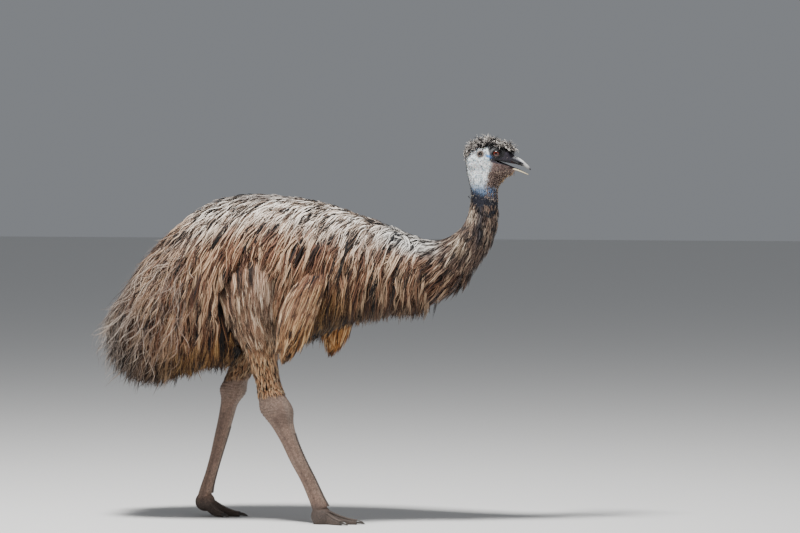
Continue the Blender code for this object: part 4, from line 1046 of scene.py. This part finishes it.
for side_name, leg in LEGS.items():
    side = SIDES[side_name]
    across, up = np.meshgrid(np.arange(0, 1, 0.055), np.arange(0.52, THIGH_TOP + 0.02, THIGH_GAP))
    across, up = across.ravel() + chance.uniform(-0.03, 0.03, across.size), up.ravel()
    up = up + chance.uniform(-0.5, 0.5, up.size) * THIGH_GAP
    back, front = thigh_edges(leg, up)
    back, front = back - 0.020, front + 0.010
    ahead = back + (front - back) * across
    show = up < THIGH_TOP + 0.015 - 0.30 * (across - 0.55) ** 2
    across, up, ahead = across[show], up[show], ahead[show]
    roots, outs = nearest(trunk_tree, np.stack([ahead, np.full(len(up), side * 0.34), up], -1))
    start = np.stack([0.12 + 0.25 * (1 - across), 0 * up, -1 + 0 * up], -1)
    start += chance.normal(0, 0.07, roots.shape)
    fall = np.stack([0.20 * (1 - across) - 0.05 + 0.35 * (up < 0.66), 0 * up - 0.12 * side, -1 + 0 * up], -1)
    fall += chance.normal(0, 0.06, roots.shape)
    length = np.interp(up, (0.5, 0.6, 0.8), (0.060, 0.085, 0.110)) * chance.uniform(0.8, 1.1, len(up))
    edge_low = np.minimum(1, 6 * np.minimum(across, 1 - across).clip(0.06, 1))
    layer = chance.uniform(0.55, 1.20, len(up)) * edge_low
    path, facing = grown(roots, outs, unit(start), unit(fall), length, trunk_tree, reach_tree, layer,
                         (0.010, 0.050))
    middle, edge, lock, s, high = strands(path, facing, 11, 0.0060, 0.0026, curl=0.0045, bulk=0.009,
                                          ragged=0.45)
    tone = toned(0.40, lock, s, high, lock_spread=0.26, depth=0.42)
    tint = coloured(middle, lock, roots, tone, leg_marks)
    left = 0.62 if side > 0 else 0.72
    spot = np.stack([left + 0.08 * across, 0.02 + 0.40 * (up - 0.5) / 0.35], -1)
    coat_piece("thigh_plumage_" + side_name, middle, edge, tint, spot[lock], feather)

    last = BARE_FROM[side_name] + 0.35
    place, angle = sown(leg, 2.0, last, LEG_GAP)
    roots = surface(leg, place, angle)
    outs = outward(leg, place, angle)
    start = surface(leg, place + 0.4, angle) - surface(leg, place, angle)
    start = unit(start) + chance.normal(0, 0.14, start.shape)
    start = led(start, outs, 0.12)
    fall = unit(start + (0, 0, -0.5) + chance.normal(0, 0.10, start.shape))
    length = np.interp(place, (2, 3, 5, last), (0.060, 0.050, 0.034, 0.015))
    length *= chance.uniform(0.75, 1.2, len(place))
    layer = chance.uniform(0.3, 1.0, len(place)) * np.interp(place, (3, last - 1, last), (1.0, 0.6, 0.25))
    path, facing = grown(roots, outs, start, fall, length, trunk_tree, None, layer, (0.001, 0.009))
    size = np.interp(place, (2, 4, last), (0.0060, 0.0045, 0.0030))
    wide = np.interp(place, (2, 4.5, last), (0.0024, 0.0020, 0.0014))
    middle, edge, lock, s, high = strands(path, facing, 7, size, wide, curl=0.0015, bulk=0.003)
    fleck = chance.random(len(lock)) < 0.20 + 0.36 * (chance.random(len(place)) < 0.38)[lock]
    tone = toned(np.where(fleck, 0.00, 0.62), lock, s, high, lock_spread=0.10)
    tint = coloured(middle, lock, roots, tone, leg_marks)
    spot = np.stack([left + 0.08 * place / 8, 0.44 + 0.50 * (angle / math.tau + 0.5)], -1)
    coat_piece("drumstick_plumage_" + side_name, middle, edge, tint, spot[lock], feather)

# The wings: small and hanging, with long golden feathers that draw together to a dark ragged tip.
# Their feathers grow all over the small arm under them and lie close along it.
WING_GAP = 0.0080
WING_OUT = 0.008


def wing_marks(points, tone):
    """The wing's colours: tan at the shoulder, golden lower down and dark at the very tip."""
    x, y, z = points.T
    colour = plumage(points, tone)
    tan = ramp(tone, "#170f0b", "#493024", "#835d44", "#b08865", "#d8ba95")
    colour = mixed(colour, tan, step_up(0.76 - z, 0, 0.08))
    low = step_up(0.69 - z, 0, 0.10) * (0.45 + 0.55 * step_up(x - 0.25 * (z - 0.6), -0.02, 0.03))
    colour = mixed(colour, ramp(tone, "#140b05", "#4f2e13", "#90602f", "#bd8a50", "#dcb682"), 0.8 * low)
    far = ramp(tone, "#251206", "#75411a", "#bb7a3c", "#dba363", "#f0cd9c")
    colour = mixed(colour, far, 0.8 * low * (y > 0))
    return colour * (1 - 0.8 * step_up(0.548 - z, 0, 0.030))[:, None]


for side_name, wing in WINGS.items():
    side = SIDES[side_name]
    form = wing + (0, 0, 0, 0, 0, side * WING_OUT)
    place, angle = sown(form, 0.3, 5.5, WING_GAP)
    roots = surface(form, place, angle)
    outs = outward(form, place, angle)
    start = surface(form, place + 0.5, angle) - surface(form, place, angle)
    start = unit(unit(start) + chance.normal(0, 0.06, start.shape) + outs * 0.06)
    fall = unit(start + (-0.14, 0, -0.4) + chance.normal(0, 0.05, start.shape))
    length = np.interp(place, (0.1, 3, 5.5), (0.110, 0.100, 0.060)) * chance.uniform(0.6, 1.15, len(place))
    wing_tree = tree_of(tube(form, 40, 24))
    layer = chance.uniform(0.2, 1.0, len(place))
    path, facing = grown(roots, outs, start, fall, length, wing_tree, None, layer, (0.001, 0.009), 0.8)
    wing_hem = np.array([(-1.0, 0.508), (1.0, 0.508)])
    path, facing, keep = cut_at_hem(path, facing, wing_hem, chance.normal(0.002, 0.010, len(place)))
    roots, place, angle = roots[keep], place[keep], angle[keep]
    middle, edge, lock, s, high = strands(path, facing, 8, 0.0050, 0.0026, curl=0.0020, bulk=0.005,
                                          ragged=0.25)
    tone = toned(0.39, lock, s, high, lock_spread=0.28, depth=0.42)
    tint = coloured(middle, lock, roots, tone, wing_marks)
    left = 0.82 if side > 0 else 0.90
    coat_piece("wing_plumage_" + side_name, middle, edge, tint,
               patched(place, angle, wing, left, left + 0.07)[lock], feather)

# The crest: thin, curly feathers like hair on the crown and forehead, and a fringe down the back of the head.
# They are dark at the root and cream at the tip, and stand up and roll over.


def crest_marks(points, tone):
    """The crest's colours, from its dark roots to its cream tips."""
    return ramp(tone, "#0b0a0c", "#1d1a1c", "#4d4645", "#a1978f", "#ebe4da")


place, angle = sown(HEAD, 0.3, 7.2, 0.0048, -1.25, 1.25)
lowest = np.interp(place, (0, 1.5, 2.6, 4.6, 5.5, 7.2), (1.25, 1.20, 0.80, 0.62, 0.70, 0.62))
stay = np.abs(angle) < lowest + chance.normal(0, 0.07, len(place))
place, angle = place[stay], angle[stay]
roots = surface(HEAD, place, angle, -0.001)
outs = outward(HEAD, place, angle)
lean = np.interp(place, (0, 2, 4.5, 5.5, 6.4, 7.2), (-0.5, -0.35, -0.05, 0.0, 0.20, 0.30))
start = outs + np.stack([lean, 0 * lean, 0.35 + 0 * lean], -1) + chance.normal(0, 0.30, outs.shape)
fall = np.stack([lean * 1.5, np.sign(angle) * 0.5, 0.15 - 0.5 * np.abs(lean)], -1)
fall = unit(fall + chance.normal(0, 0.60, outs.shape))
length = np.interp(place, (0.3, 1.3, 2.2, 3.2, 4.3, 4.9, 5.5, 6.1, 6.7, 7.2),
                   (0.013, 0.020, 0.032, 0.036, 0.034, 0.024, 0.022, 0.034, 0.033, 0.018))
length *= (1 - 0.45 * (np.abs(angle) / 0.9) ** 2).clip(0.4, 1) * chance.uniform(0.7, 1.12, len(place))
head_tree = tree_of(tube(HEAD, 60, 32), tube(TRUNK, 60, 32, first=16))
path, facing = grown(roots, outs, unit(start), fall, length, head_tree, None, 1.0, (0.001, 0.004), 0.0)
middle, edge, lock, s, high = strands(path, facing, 8, 0.0030, 0.0011, curl=0.0075, bulk=0.003, roll=1.2,
                                      steps=10, turns=(0.9, 2.0), together=0.75)
tone = toned(0.34, lock, s, high, lock_spread=0.26, tip=0.50)
tint = coloured(middle, lock, roots, tone, crest_marks)
coat_piece("crest", middle, edge, tint, patched(place, angle, HEAD, 0.01, 0.50)[lock] * (1, 0.5), feather)

# The chin and throat: short bristly hair, brown, with a pale edge of longer hairs under the jaw.
# It is hair-like feather, grown from the throat's skin and from the underside of the head.
place, angle = sown(TRUNK, 18.6, 21.8, 0.0040, math.radians(105), math.radians(255))
low_roots = surface(TRUNK, place, angle)
low_outs = outward(TRUNK, place, angle)
chin_place, chin_angle = sown(HEAD, 2.5, 7.4, 0.0040, math.radians(118), math.radians(242))
roots = np.concatenate([low_roots, surface(HEAD, chin_place, chin_angle)])
outs = np.concatenate([low_outs, outward(HEAD, chin_place, chin_angle)])
place = np.concatenate([place, 22 + chin_place])
angle = np.concatenate([angle, chin_angle])
x, y, z = roots.T
stay = step_up(x - 0.22 * (z - 1.09), 0.550, 0.574) > chance.random(len(x))
roots, outs, place, angle = roots[stay], outs[stay], place[stay], angle[stay]
start = unit(outs * 0.5 + (-0.45, 0, -0.75) + chance.normal(0, 0.25, outs.shape))
fall = unit(outs * 0.25 + (-0.25, 0, -1.0) + chance.normal(0, 0.25, outs.shape))
length = chance.uniform(0.005, 0.011, len(place)) * np.where(np.abs(roots[:, 1]) < 0.016, 1.35, 1.0)
path, facing = grown(roots, outs, start, fall, length, head_tree, None, 1.0, (0.0003, 0.0026), 0.1)
middle, edge, lock, s, high = strands(path, facing, 3, 0.0018, 0.0009, curl=0.0006, bulk=0.001, roll=1.0,
                                      steps=3)


def throat_marks(points, tone):
    """The throat's hair: brown above, with ochre and cream low down at the front."""
    x, y, z = points.T
    colour = ramp(tone, "#241a18", "#5c4941", "#8b746a", "#c0a892")
    front = step_up(0.012 - np.abs(y), 0, 0.008) * step_up(x, 0.575, 0.60)
    return mixed(colour, ramp(tone, "#4a2c14", "#8a5a2a", "#d2a765", "#f0dcae"), 0.85 * front)


tone = toned(0.50, lock, s, high, spread=0.20)
tint = coloured(middle, lock, roots, tone, throat_marks)
spot = np.stack([0.52 + 0.45 * (place - 18) / 13, 0.02 + 0.45 * angle / math.tau], -1)
coat_piece("throat_hair", middle, edge, tint, spot[lock], feather)

# Bristles: stiff dark hairs a few millimetres long, scattered over the bare skin of the face and neck.
# They grow all over the surface at a set spacing, so nodes scatter one three-sided bristle over it.
BRISTLE_LENGTH = 0.0055
BRISTLE_RADIUS = 0.00052
BRISTLE_SPACING = 0.0021


def socket(tree, name, kind, value=None):
    """A named input of a tree."""
    made = tree.interface.new_socket(name, in_out="INPUT", socket_type="NodeSocket" + kind)
    if value is not None:
        made.default_value = value
    return made


def put_nodes(made, tree, **values):
    """Gives an object a nodes modifier, sets its inputs and turns it into a plain mesh."""
    step = made.modifiers.new(tree.name, "NODES")
    step.node_group = tree
    for item in tree.interface.items_tree:
        if item.item_type == "SOCKET" and item.in_out == "INPUT" and item.name in values:
            step[item.identifier] = values[item.name]
    return baked(made)


bristle_tree = bpy.data.node_groups.new("scattered bristles", "GeometryNodeTree")
tree = bristle_tree
socket(tree, "Skin", "Geometry")
socket(tree, "Spacing", "Float", BRISTLE_SPACING)
socket(tree, "Length", "Float", BRISTLE_LENGTH)
socket(tree, "Radius", "Float", BRISTLE_RADIUS)
socket(tree, "Material", "Material")
tree.interface.new_socket("Bristles", in_out="OUTPUT", socket_type="NodeSocketGeometry")
given = node(tree, "NodeGroupInput")
share = node(tree, "GeometryNodeInputNamedAttribute", {"Name": "hairy"}, data_type="FLOAT")
comb = node(tree, "GeometryNodeInputNamedAttribute", {"Name": "comb"}, data_type="FLOAT_VECTOR")
sow = node(tree, "GeometryNodeDistributePointsOnFaces",
           {"Mesh": given.outputs["Skin"], "Distance Min": given.outputs["Spacing"], "Density Max": 160000.0,
            "Density Factor": share.outputs["Attribute"], "Seed": 5}, distribute_method="POISSON")
taper = node(tree, "GeometryNodeMeshCone",
             {"Vertices": 3, "Radius Bottom": given.outputs["Radius"], "Depth": given.outputs["Length"]},
             fill_type="NONE")
turn = node(tree, "FunctionNodeAlignRotationToVector", {"Vector": comb.outputs["Attribute"]}, axis="Z")
grow = node(tree, "FunctionNodeRandomValue", {2: 0.55, 3: 1.25, "Seed": 6}, data_type="FLOAT")
place_it = node(tree, "GeometryNodeInstanceOnPoints",
                {"Points": sow.outputs["Points"], "Instance": taper.outputs["Mesh"],
                 "Rotation": turn.outputs["Rotation"], "Scale": grow.outputs[1]})
real = node(tree, "GeometryNodeRealizeInstances", {"Geometry": place_it.outputs["Instances"]})
clad = node(tree, "GeometryNodeSetMaterial",
            {"Geometry": real.outputs[0], "Material": given.outputs["Material"]})
node(tree, "NodeGroupOutput", {0: clad.outputs[0]})

bristles = shown("bristles", face)
points, normals = corners_of(face), normals_of(face)
x, y, z = points.T
mask = step_up(x, 0.56, 0.575) * step_up(z, 1.100, 1.115)
hairy = np.clip(0.75 + 0.9 * step_up(1.04 - z, 0, 0.05), 0, 1) * (1 - 0.9 * mask)
noted(face, "hairy", "FLOAT", hairy * step_up(0.630 - x, 0, 0.01))
comb_way = unit(normals * 0.45 + (-0.25, 0, -0.85) + chance.normal(0, 0.25, normals.shape))
noted(face, "comb", "FLOAT_VECTOR", comb_way)
# Bristle: stiff, smooth keratin that glints along its length, nearly black with a pale one here and there.
bristle_hair, hair_nodes, shader = finish_of("stiff dark bristle", 0.5, IOR=1.54)
tint = node(hair_nodes, "ShaderNodeAttribute", attribute_name="tint")
hair_nodes.links.new(tint.outputs["Color"], shader.inputs["Base Color"])
put_nodes(bristles, bristle_tree, Spacing=BRISTLE_SPACING, Length=BRISTLE_LENGTH, Radius=BRISTLE_RADIUS,
          Material=bristle_hair)
BRISTLE_POINTS = 4
PALE_BRISTLES = 0.12
roots = corners_of(bristles.data).reshape(-1, BRISTLE_POINTS, 3).mean(1)
light = (chance.random(len(roots)) < PALE_BRISTLES)[:, None]
hair_tint = np.where(light, linear("#c9bda9"), linear("#0e0e13"))
without(bristles.data, "tint", "hairy", "comb")
tinted(bristles.data, np.repeat(hair_tint, BRISTLE_POINTS, 0))
turn = np.arctan2(roots[:, 1], (roots[:, 0] - 0.54))
spot = np.stack([0.02 + 0.96 * (turn / math.tau + 0.5), 0.52 + 0.45 * (roots[:, 2] - 0.84) / 0.36], -1)
corner = np.empty(len(bristles.data.loops), np.int32)
bristles.data.loops.foreach_get("vertex_index", corner)
small = np.array([(-0.5, -0.5), (0.5, -0.5), (0, -0.5), (0, 0.5)]) * PATCH
for old in list(bristles.data.uv_layers):
    bristles.data.uv_layers.remove(old)
layer = bristles.data.uv_layers.new(name="OFBake")
patch = spot[corner // BRISTLE_POINTS] + small[corner % BRISTLE_POINTS]
layer.data.foreach_set("uv", patch.astype(np.float32).ravel())
bristles.data.shade_smooth()
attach(bristles, "root")

# The bill: hard grey-black horn over bone, with a painted highlight along the ridge on top.
# Both halves are built as rings; the upper one has an oval nostril sunk in each side.
UPPER_BILL = np.array([
    (0.6060, 1.1430, 0.6050, 1.1170, 0.0215, 0), (0.6270, 1.1400, 0.6270, 1.1150, 0.0200, 0),
    (0.6520, 1.1290, 0.6500, 1.1080, 0.0160, 0), (0.6710, 1.1145, 0.6680, 1.1030, 0.0115, 0),
    (0.6820, 1.1035, 0.6800, 1.0950, 0.0070, 0), (0.6870, 1.0960, 0.6862, 1.0925, 0.0020, 0),
])
LOWER_BILL = np.array([
    (0.6060, 1.1065, 0.6050, 1.0920, 0.0180, 0), (0.6235, 1.1045, 0.6235, 1.0935, 0.0165, 0),
    (0.6480, 1.0965, 0.6470, 1.0885, 0.0130, 0), (0.6650, 1.0885, 0.6640, 1.0825, 0.0085, 0),
    (0.6795, 1.0805, 0.6790, 1.0780, 0.0022, 0),
])
NOSTRIL_PLACE = np.array((0.657, 0.0140, 1.1150))
NOSTRIL_RADII = (0.0070, 0.0040, 0.0022)

# Bill horn: half glossy, with a fine grain along the bill that is worn lighter and darker in places.
bill_horn, tree, shader = finish_of("worn bill horn", 0.38, IOR=1.55)
where = node(tree, "ShaderNodeTexCoord")
tint = node(tree, "ShaderNodeAttribute", attribute_name="tint")
stretch = node(tree, "ShaderNodeMapping", {"Vector": where.outputs["Object"], "Scale": (60.0, 420.0, 420.0)})
wear = node(tree, "ShaderNodeTexNoise", {"Vector": stretch.outputs[0], "Scale": 1.0, "Detail": 5.0})
level = node(tree, "ShaderNodeMapRange", {"Value": wear.outputs["Fac"], 1: 0.3, 2: 0.7, 3: 0.70, 4: 1.25})
shaded(tree, shader, tint, level)
raised(tree, shader, wear.outputs["Fac"], 0.25, 0.0004)

points, faces = tube(UPPER_BILL, 70, 48)
ridge = surface(UPPER_BILL, np.repeat(np.linspace(0, 5, 71), 48), np.zeros(71 * 48))[:, 2]
depth = np.clip((ridge - points[:, 2]) / 0.010, 0, 1)
points[:, 1] *= 0.55 + 0.45 * depth
upper = solid("upper_bill", (points, faces))
cut_out(upper, [solid("cut", ball(NOSTRIL_PLACE * (1, side, 1), NOSTRIL_RADII, 24, 12)) for side in (-1, 1)])
points = corners_of(upper.data)
x, y, z = points.T
ridge = np.interp(x, UPPER_BILL[:, 0], UPPER_BILL[:, 1])
below = ridge - z
# Painted highlight: the ridge is near white, fading to grey-black down the sides.
colour = ramp(below / 0.020, "#f0eee9", "#a3a2a4", "#3d3c43", "#1b1a1f", "#151418", "#232125")
tip = step_up(x, 0.660, 0.672) * step_up(0.683 - x, 0, 0.004)
colour = mixed(colour, linear("#b9b6b0"), 0.7 * tip)
colour = mixed(colour, linear("#1d1c21"), step_up(0.640 - x, 0, 0.012) * step_up(below, 0.008, 0.012))
colour = mixed(colour, linear("#2c2b30"), step_up(x, 0.676, 0.687))
stripe = z - (1.1300 - 0.36 * (x - 0.618))
colour = mixed(colour, linear("#151418"), np.exp(-(stripe / 0.0022) ** 2) * step_up(0.662 - x, 0, 0.006))
# Painted shade: the sunk nostril is painted near black.
past = x - NOSTRIL_PLACE[0]
nostril = np.hypot(past / 0.0085, (z - NOSTRIL_PLACE[2] + 0.25 * past) / 0.0030)
colour = mixed(colour, linear("#141317"), step_up(1.25 - nostril, 0, 0.4))
tinted(upper.data, colour)
upper.data.materials.append(bill_horn)
lower = solid("lower_bill", tube(LOWER_BILL, 60, 40))
x, y, z = corners_of(lower.data).T
rim = np.interp(x, LOWER_BILL[:, 0], LOWER_BILL[:, 1]) - z
half_high = (LOWER_BILL[:, 1] - LOWER_BILL[:, 3]) / 2
rim = rim / np.interp(x, LOWER_BILL[:, 0], half_high)
colour = ramp(rim / 2, "#3a322c", "#d9c9a6", "#dccdae", "#4a4038", "#2c2725")
tinted(lower.data, colour)
lower.data.materials.append(bill_horn)
for piece, replaced in ((upper, "beak_upper"), (lower, "beak_lower")):
    piece.data.shade_smooth()
    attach(piece, "root")
    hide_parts(replaced)

# The eyes: wet red-brown irises that fill the lids, a round black pupil and a clear, very smooth cornea.
# Each is one ball sunk in its socket, with the iris as rings about the middle of the opening.
eye_wet, tree, shader = finish_of("wet eye", 0.12, IOR=1.376)
shader.inputs["Coat Weight"].default_value = 1.0
shader.inputs["Coat Roughness"].default_value = 0.02
shader.inputs["Specular IOR Level"].default_value = 0.6
where = node(tree, "ShaderNodeTexCoord")
flat = node(tree, "ShaderNodeVectorMath",
            {0: where.outputs["Object"], 1: (-EYE_PLACE[0] - 0.0005, 0.0, -EYE_PLACE[2])}, operation="ADD")
flat = node(tree, "ShaderNodeVectorMath", {0: flat.outputs[0], 1: (1.0, 0.0, 1.0)}, operation="MULTIPLY")
away = node(tree, "ShaderNodeVectorMath", {0: flat.outputs[0]}, operation="LENGTH")
rays = node(tree, "ShaderNodeTexNoise", {"Vector": where.outputs["Object"], "Scale": 700.0, "Detail": 2.0})
waver = node(tree, "ShaderNodeMapRange", {"Value": rays.outputs["Fac"], 3: -0.0006, 4: 0.0006})
ring = node(tree, "ShaderNodeMath", {0: away.outputs["Value"], 1: waver.outputs[0]}, operation="ADD")
ring = node(tree, "ShaderNodeMath", {0: ring.outputs[0], 1: EYE_RADIUS}, operation="DIVIDE")
iris = node(tree, "ShaderNodeValToRGB", {0: ring.outputs[0]})
stops = ((0.0, "#030202"), (0.24, "#040303"), (0.30, "#2a0c05"), (0.48, "#5a1c0c"), (0.66, "#481609"),
         (0.80, "#190804"), (0.90, "#090505"))
for k, (at, code) in enumerate(stops):
    stop = iris.color_ramp.elements[k] if k < 2 else iris.color_ramp.elements.new(at)
    stop.position = at
    stop.color = (*linear(code), 1)
tree.links.new(iris.outputs[0], shader.inputs["Base Color"])
for side_name, side in SIDES.items():
    eye = solid("eyeball_" + side_name, ball(EYE_PLACE * (1, side, 1), EYE_RADIUS, 64, 40))
    eye.data.materials.append(eye_wet)
    eye.data.shade_smooth()
    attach(eye, "root")
    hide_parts("eye_" + side_name)

# Scutes: overlapping horny plates across the tops of the toes and down the front of each shank.
# They repeat along a line and shrink toward the tip, so nodes set one domed plate at each place.
TOE_SCUTE_GAP = 0.0075
SHANK_SCUTES = 34
SCUTE_DOME = 0.30
plate_tree = bpy.data.node_groups.new("rows of scutes", "GeometryNodeTree")
tree = plate_tree
socket(tree, "Places", "Geometry")
socket(tree, "Dome", "Float", SCUTE_DOME)
socket(tree, "Material", "Material")
tree.interface.new_socket("Scutes", in_out="OUTPUT", socket_type="NodeSocketGeometry")
given = node(tree, "NodeGroupInput")
ahead = node(tree, "GeometryNodeInputNamedAttribute", {"Name": "ahead"}, data_type="FLOAT_VECTOR")
facing_out = node(tree, "GeometryNodeInputNamedAttribute", {"Name": "facing"}, data_type="FLOAT_VECTOR")
size = node(tree, "GeometryNodeInputNamedAttribute", {"Name": "size"}, data_type="FLOAT_VECTOR")
dome = node(tree, "GeometryNodeMeshUVSphere", {"Segments": 10, "Rings": 6, "Radius": 1.0})
low = node(tree, "ShaderNodeCombineXYZ", {0: 1.0, 1: 1.0, 2: given.outputs["Dome"]})
flat = node(tree, "GeometryNodeTransform", {"Geometry": dome.outputs["Mesh"], "Scale": low.outputs[0]})
turn = node(tree, "FunctionNodeAxesToRotation",
            {0: facing_out.outputs["Attribute"], 1: ahead.outputs["Attribute"]},
            primary_axis="Z", secondary_axis="X")
set_them = node(tree, "GeometryNodeInstanceOnPoints",
                {"Points": given.outputs["Places"], "Instance": flat.outputs[0], "Rotation": turn.outputs[0],
                 "Scale": size.outputs["Attribute"]})
real = node(tree, "GeometryNodeRealizeInstances", {"Geometry": set_them.outputs["Instances"]})
even = node(tree, "GeometryNodeSetShadeSmooth", {"Geometry": real.outputs[0]})
clad = node(tree, "GeometryNodeSetMaterial",
            {"Geometry": even.outputs[0], "Material": given.outputs["Material"]})
node(tree, "NodeGroupOutput", {0: clad.outputs[0]})


def grained(name, roughness, ior, scale, detail, dark, pale, strength, depth):
    """Horn mottled from dark to pale by a fine grain, which roughens it too."""
    made, tree, shader = finish_of(name, roughness, IOR=ior)
    where = node(tree, "ShaderNodeTexCoord")
    grain = node(tree, "ShaderNodeTexNoise",
                 {"Vector": where.outputs["Object"], "Scale": scale, "Detail": detail})
    colour = node(tree, "ShaderNodeMix",
                  {0: grain.outputs["Fac"], 6: (*linear(dark), 1), 7: (*linear(pale), 1)}, data_type="RGBA")
    tree.links.new(colour.outputs[2], shader.inputs["Base Color"])
    raised(tree, shader, grain.outputs["Fac"], strength, depth)
    return made


# Scute horn: darker than the shank and smoother, with a fine grain over each plate.
scute_horn = grained("dark scute horn", 0.45, 1.54, 300.0, 4.0, "#2e2723", "#75665b", 0.35, 0.0005)

spots, aheads, outs, sizes = [], [], [], []
for side_name, side in SIDES.items():
    for _, heading, length, thick in TOES:
        rows = toe_rows(side_name, length, thick)
        count = round(length / TOE_SCUTE_GAP)
        place = np.linspace(1.6, 7.8, count)
        on_top = turned(surface(rows, place, np.zeros(count), -0.0009), side_name, heading)
        next_top = turned(surface(rows, place + 0.1, np.zeros(count), -0.0009), side_name, heading)
        along = unit(next_top - on_top)
        level = unit(np.cross(along, (0, 0, 1.0)))
        spots.append(on_top)
        aheads.append(along)
        outs.append(np.cross(level, along))
        wide = rings(rows, place)[:, 4]
        sizes.append(np.stack([0 * wide + 0.0052, 0.86 * wide, 0 * wide + 0.0075], -1))
    leg = LEGS[side_name]
    place = np.linspace(10.6, 14.9, SHANK_SCUTES)
    on_front = surface(leg, place, np.zeros(SHANK_SCUTES), -0.0010)
    along = unit(surface(leg, place + 0.1, np.zeros(SHANK_SCUTES), -0.0010) - on_front)
    spots.append(on_front)
    aheads.append(along)
    outs.append(np.cross(np.cross(along, (1.0, 0, 0.3)), along))
    wide = rings(leg, place)[:, 4]
    sizes.append(np.stack([0 * wide + 0.0050, 0.46 * wide, 0 * wide + 0.0060], -1))
spots, aheads, outs, sizes = (np.concatenate(part) for part in (spots, aheads, outs, sizes))
outs = outs * np.where((outs * (1.0, 0, 1.0)).sum(-1, keepdims=True) < 0, -1, 1)
places_mesh = bpy.data.meshes.new("scute places")
places_mesh.from_pydata(spots.tolist(), [], [])
for name, values in (("ahead", aheads), ("facing", unit(outs)), ("size", sizes)):
    noted(places_mesh, name, "FLOAT_VECTOR", values)
scutes = shown("scutes", places_mesh)
put_nodes(scutes, plate_tree, Dome=SCUTE_DOME, Material=scute_horn)
without(scutes.data, "ahead", "facing", "size")
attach(scutes, "root")

# The claws: dark, blunt horn, flat underneath and worn smooth, growing from the tip of each toe.
# Each is a short tube of rings: the share of its length, its top, its underside and its half width.
CLAW_RINGS = ((-0.12, 0.0128, 0.0030, 0.0066), (0.00, 0.0135, 0.0030, 0.0064), (0.35, 0.0132, 0.0028, 0.0056),
              (0.75, 0.0088, 0.0018, 0.0036), (1.00, 0.0030, 0.0016, 0.0010))
# Claw horn: near black and half glossy, with a fine grain.
claw_horn = grained("dark claw horn", 0.34, 1.55, 260.0, 5.0, "#191715", "#4a423b", 0.3, 0.0004)
for side_name in SIDES:
    for toe_name, heading, length, thick in TOES:
        rows = [(length + share * CLAW_LENGTH, top, length + share * CLAW_LENGTH, under, half, 0)
                for share, top, under, half in CLAW_RINGS]
        points, faces = tube(np.array(rows), 16, 20)
        claw = solid("claw_horn_" + side_name + "_" + toe_name, (turned(points, side_name, heading), faces))
        claw.data.materials.append(claw_horn)
        claw.data.shade_smooth()
        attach(claw, "root")
        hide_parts("claw_" + side_name + "_" + toe_name)

# A pale studio floor and backdrop, soft light from above, and the camera at the emu's right side.
floor_sheet = bpy.data.meshes.new("studio floor")
floor_sheet.from_pydata([(-30, -30, 0), (30, -30, 0), (30, 30, 0), (-30, 30, 0)], [], [(0, 1, 2, 3)])
floor = shown("studio_floor", floor_sheet)
paper, tree, shader = finish_of("pale studio paper", 0.9, Base_Color=(0.78, 0.77, 0.75, 1))
floor_sheet.materials.append(paper)

world = bpy.data.worlds.new("studio air")
bpy.context.scene.world = world
world.use_nodes = True
world.node_tree.nodes["Background"].inputs["Color"].default_value = (0.80, 0.84, 0.90, 1)
world.node_tree.nodes["Background"].inputs["Strength"].default_value = 0.27


def lamp(name, size, power, place, aim):
    """A square soft light, aimed at a point."""
    light = bpy.data.lights.new(name, "AREA")
    light.size = size
    light.energy = power
    made = shown(name, light)
    made.location = place
    made.rotation_euler = (Vector(aim) - Vector(place)).to_track_quat("-Z", "Y").to_euler()


lamp("sun_panel", 0.9, 600, (-0.6, -1.7, 5.4), (0, 0, 0.7))
lamp("fill_panel", 4.0, 50, (4.5, -4.0, 2.5), (0, 0, 0.7))

CAMERA_TURN = math.radians(12)
CAMERA_TILT = math.radians(2)
CAMERA_AWAY = 13.8
AIM_AHEAD = 0.270
AIM_HEIGHT = 0.792
aim = Vector((AIM_AHEAD * math.cos(CAMERA_TURN), AIM_AHEAD * math.sin(CAMERA_TURN), AIM_HEIGHT))
toward = Vector((
    math.sin(CAMERA_TURN) * math.cos(CAMERA_TILT),
    -math.cos(CAMERA_TURN) * math.cos(CAMERA_TILT),
    math.sin(CAMERA_TILT),
))
lens = bpy.data.cameras.new("side camera")
lens.lens = 200
lens.sensor_width = 36
camera = shown("side_camera", lens)
camera.location = aim + toward * CAMERA_AWAY
camera.rotation_euler = toward.to_track_quat("Z", "Y").to_euler()
bpy.context.scene.camera = camera
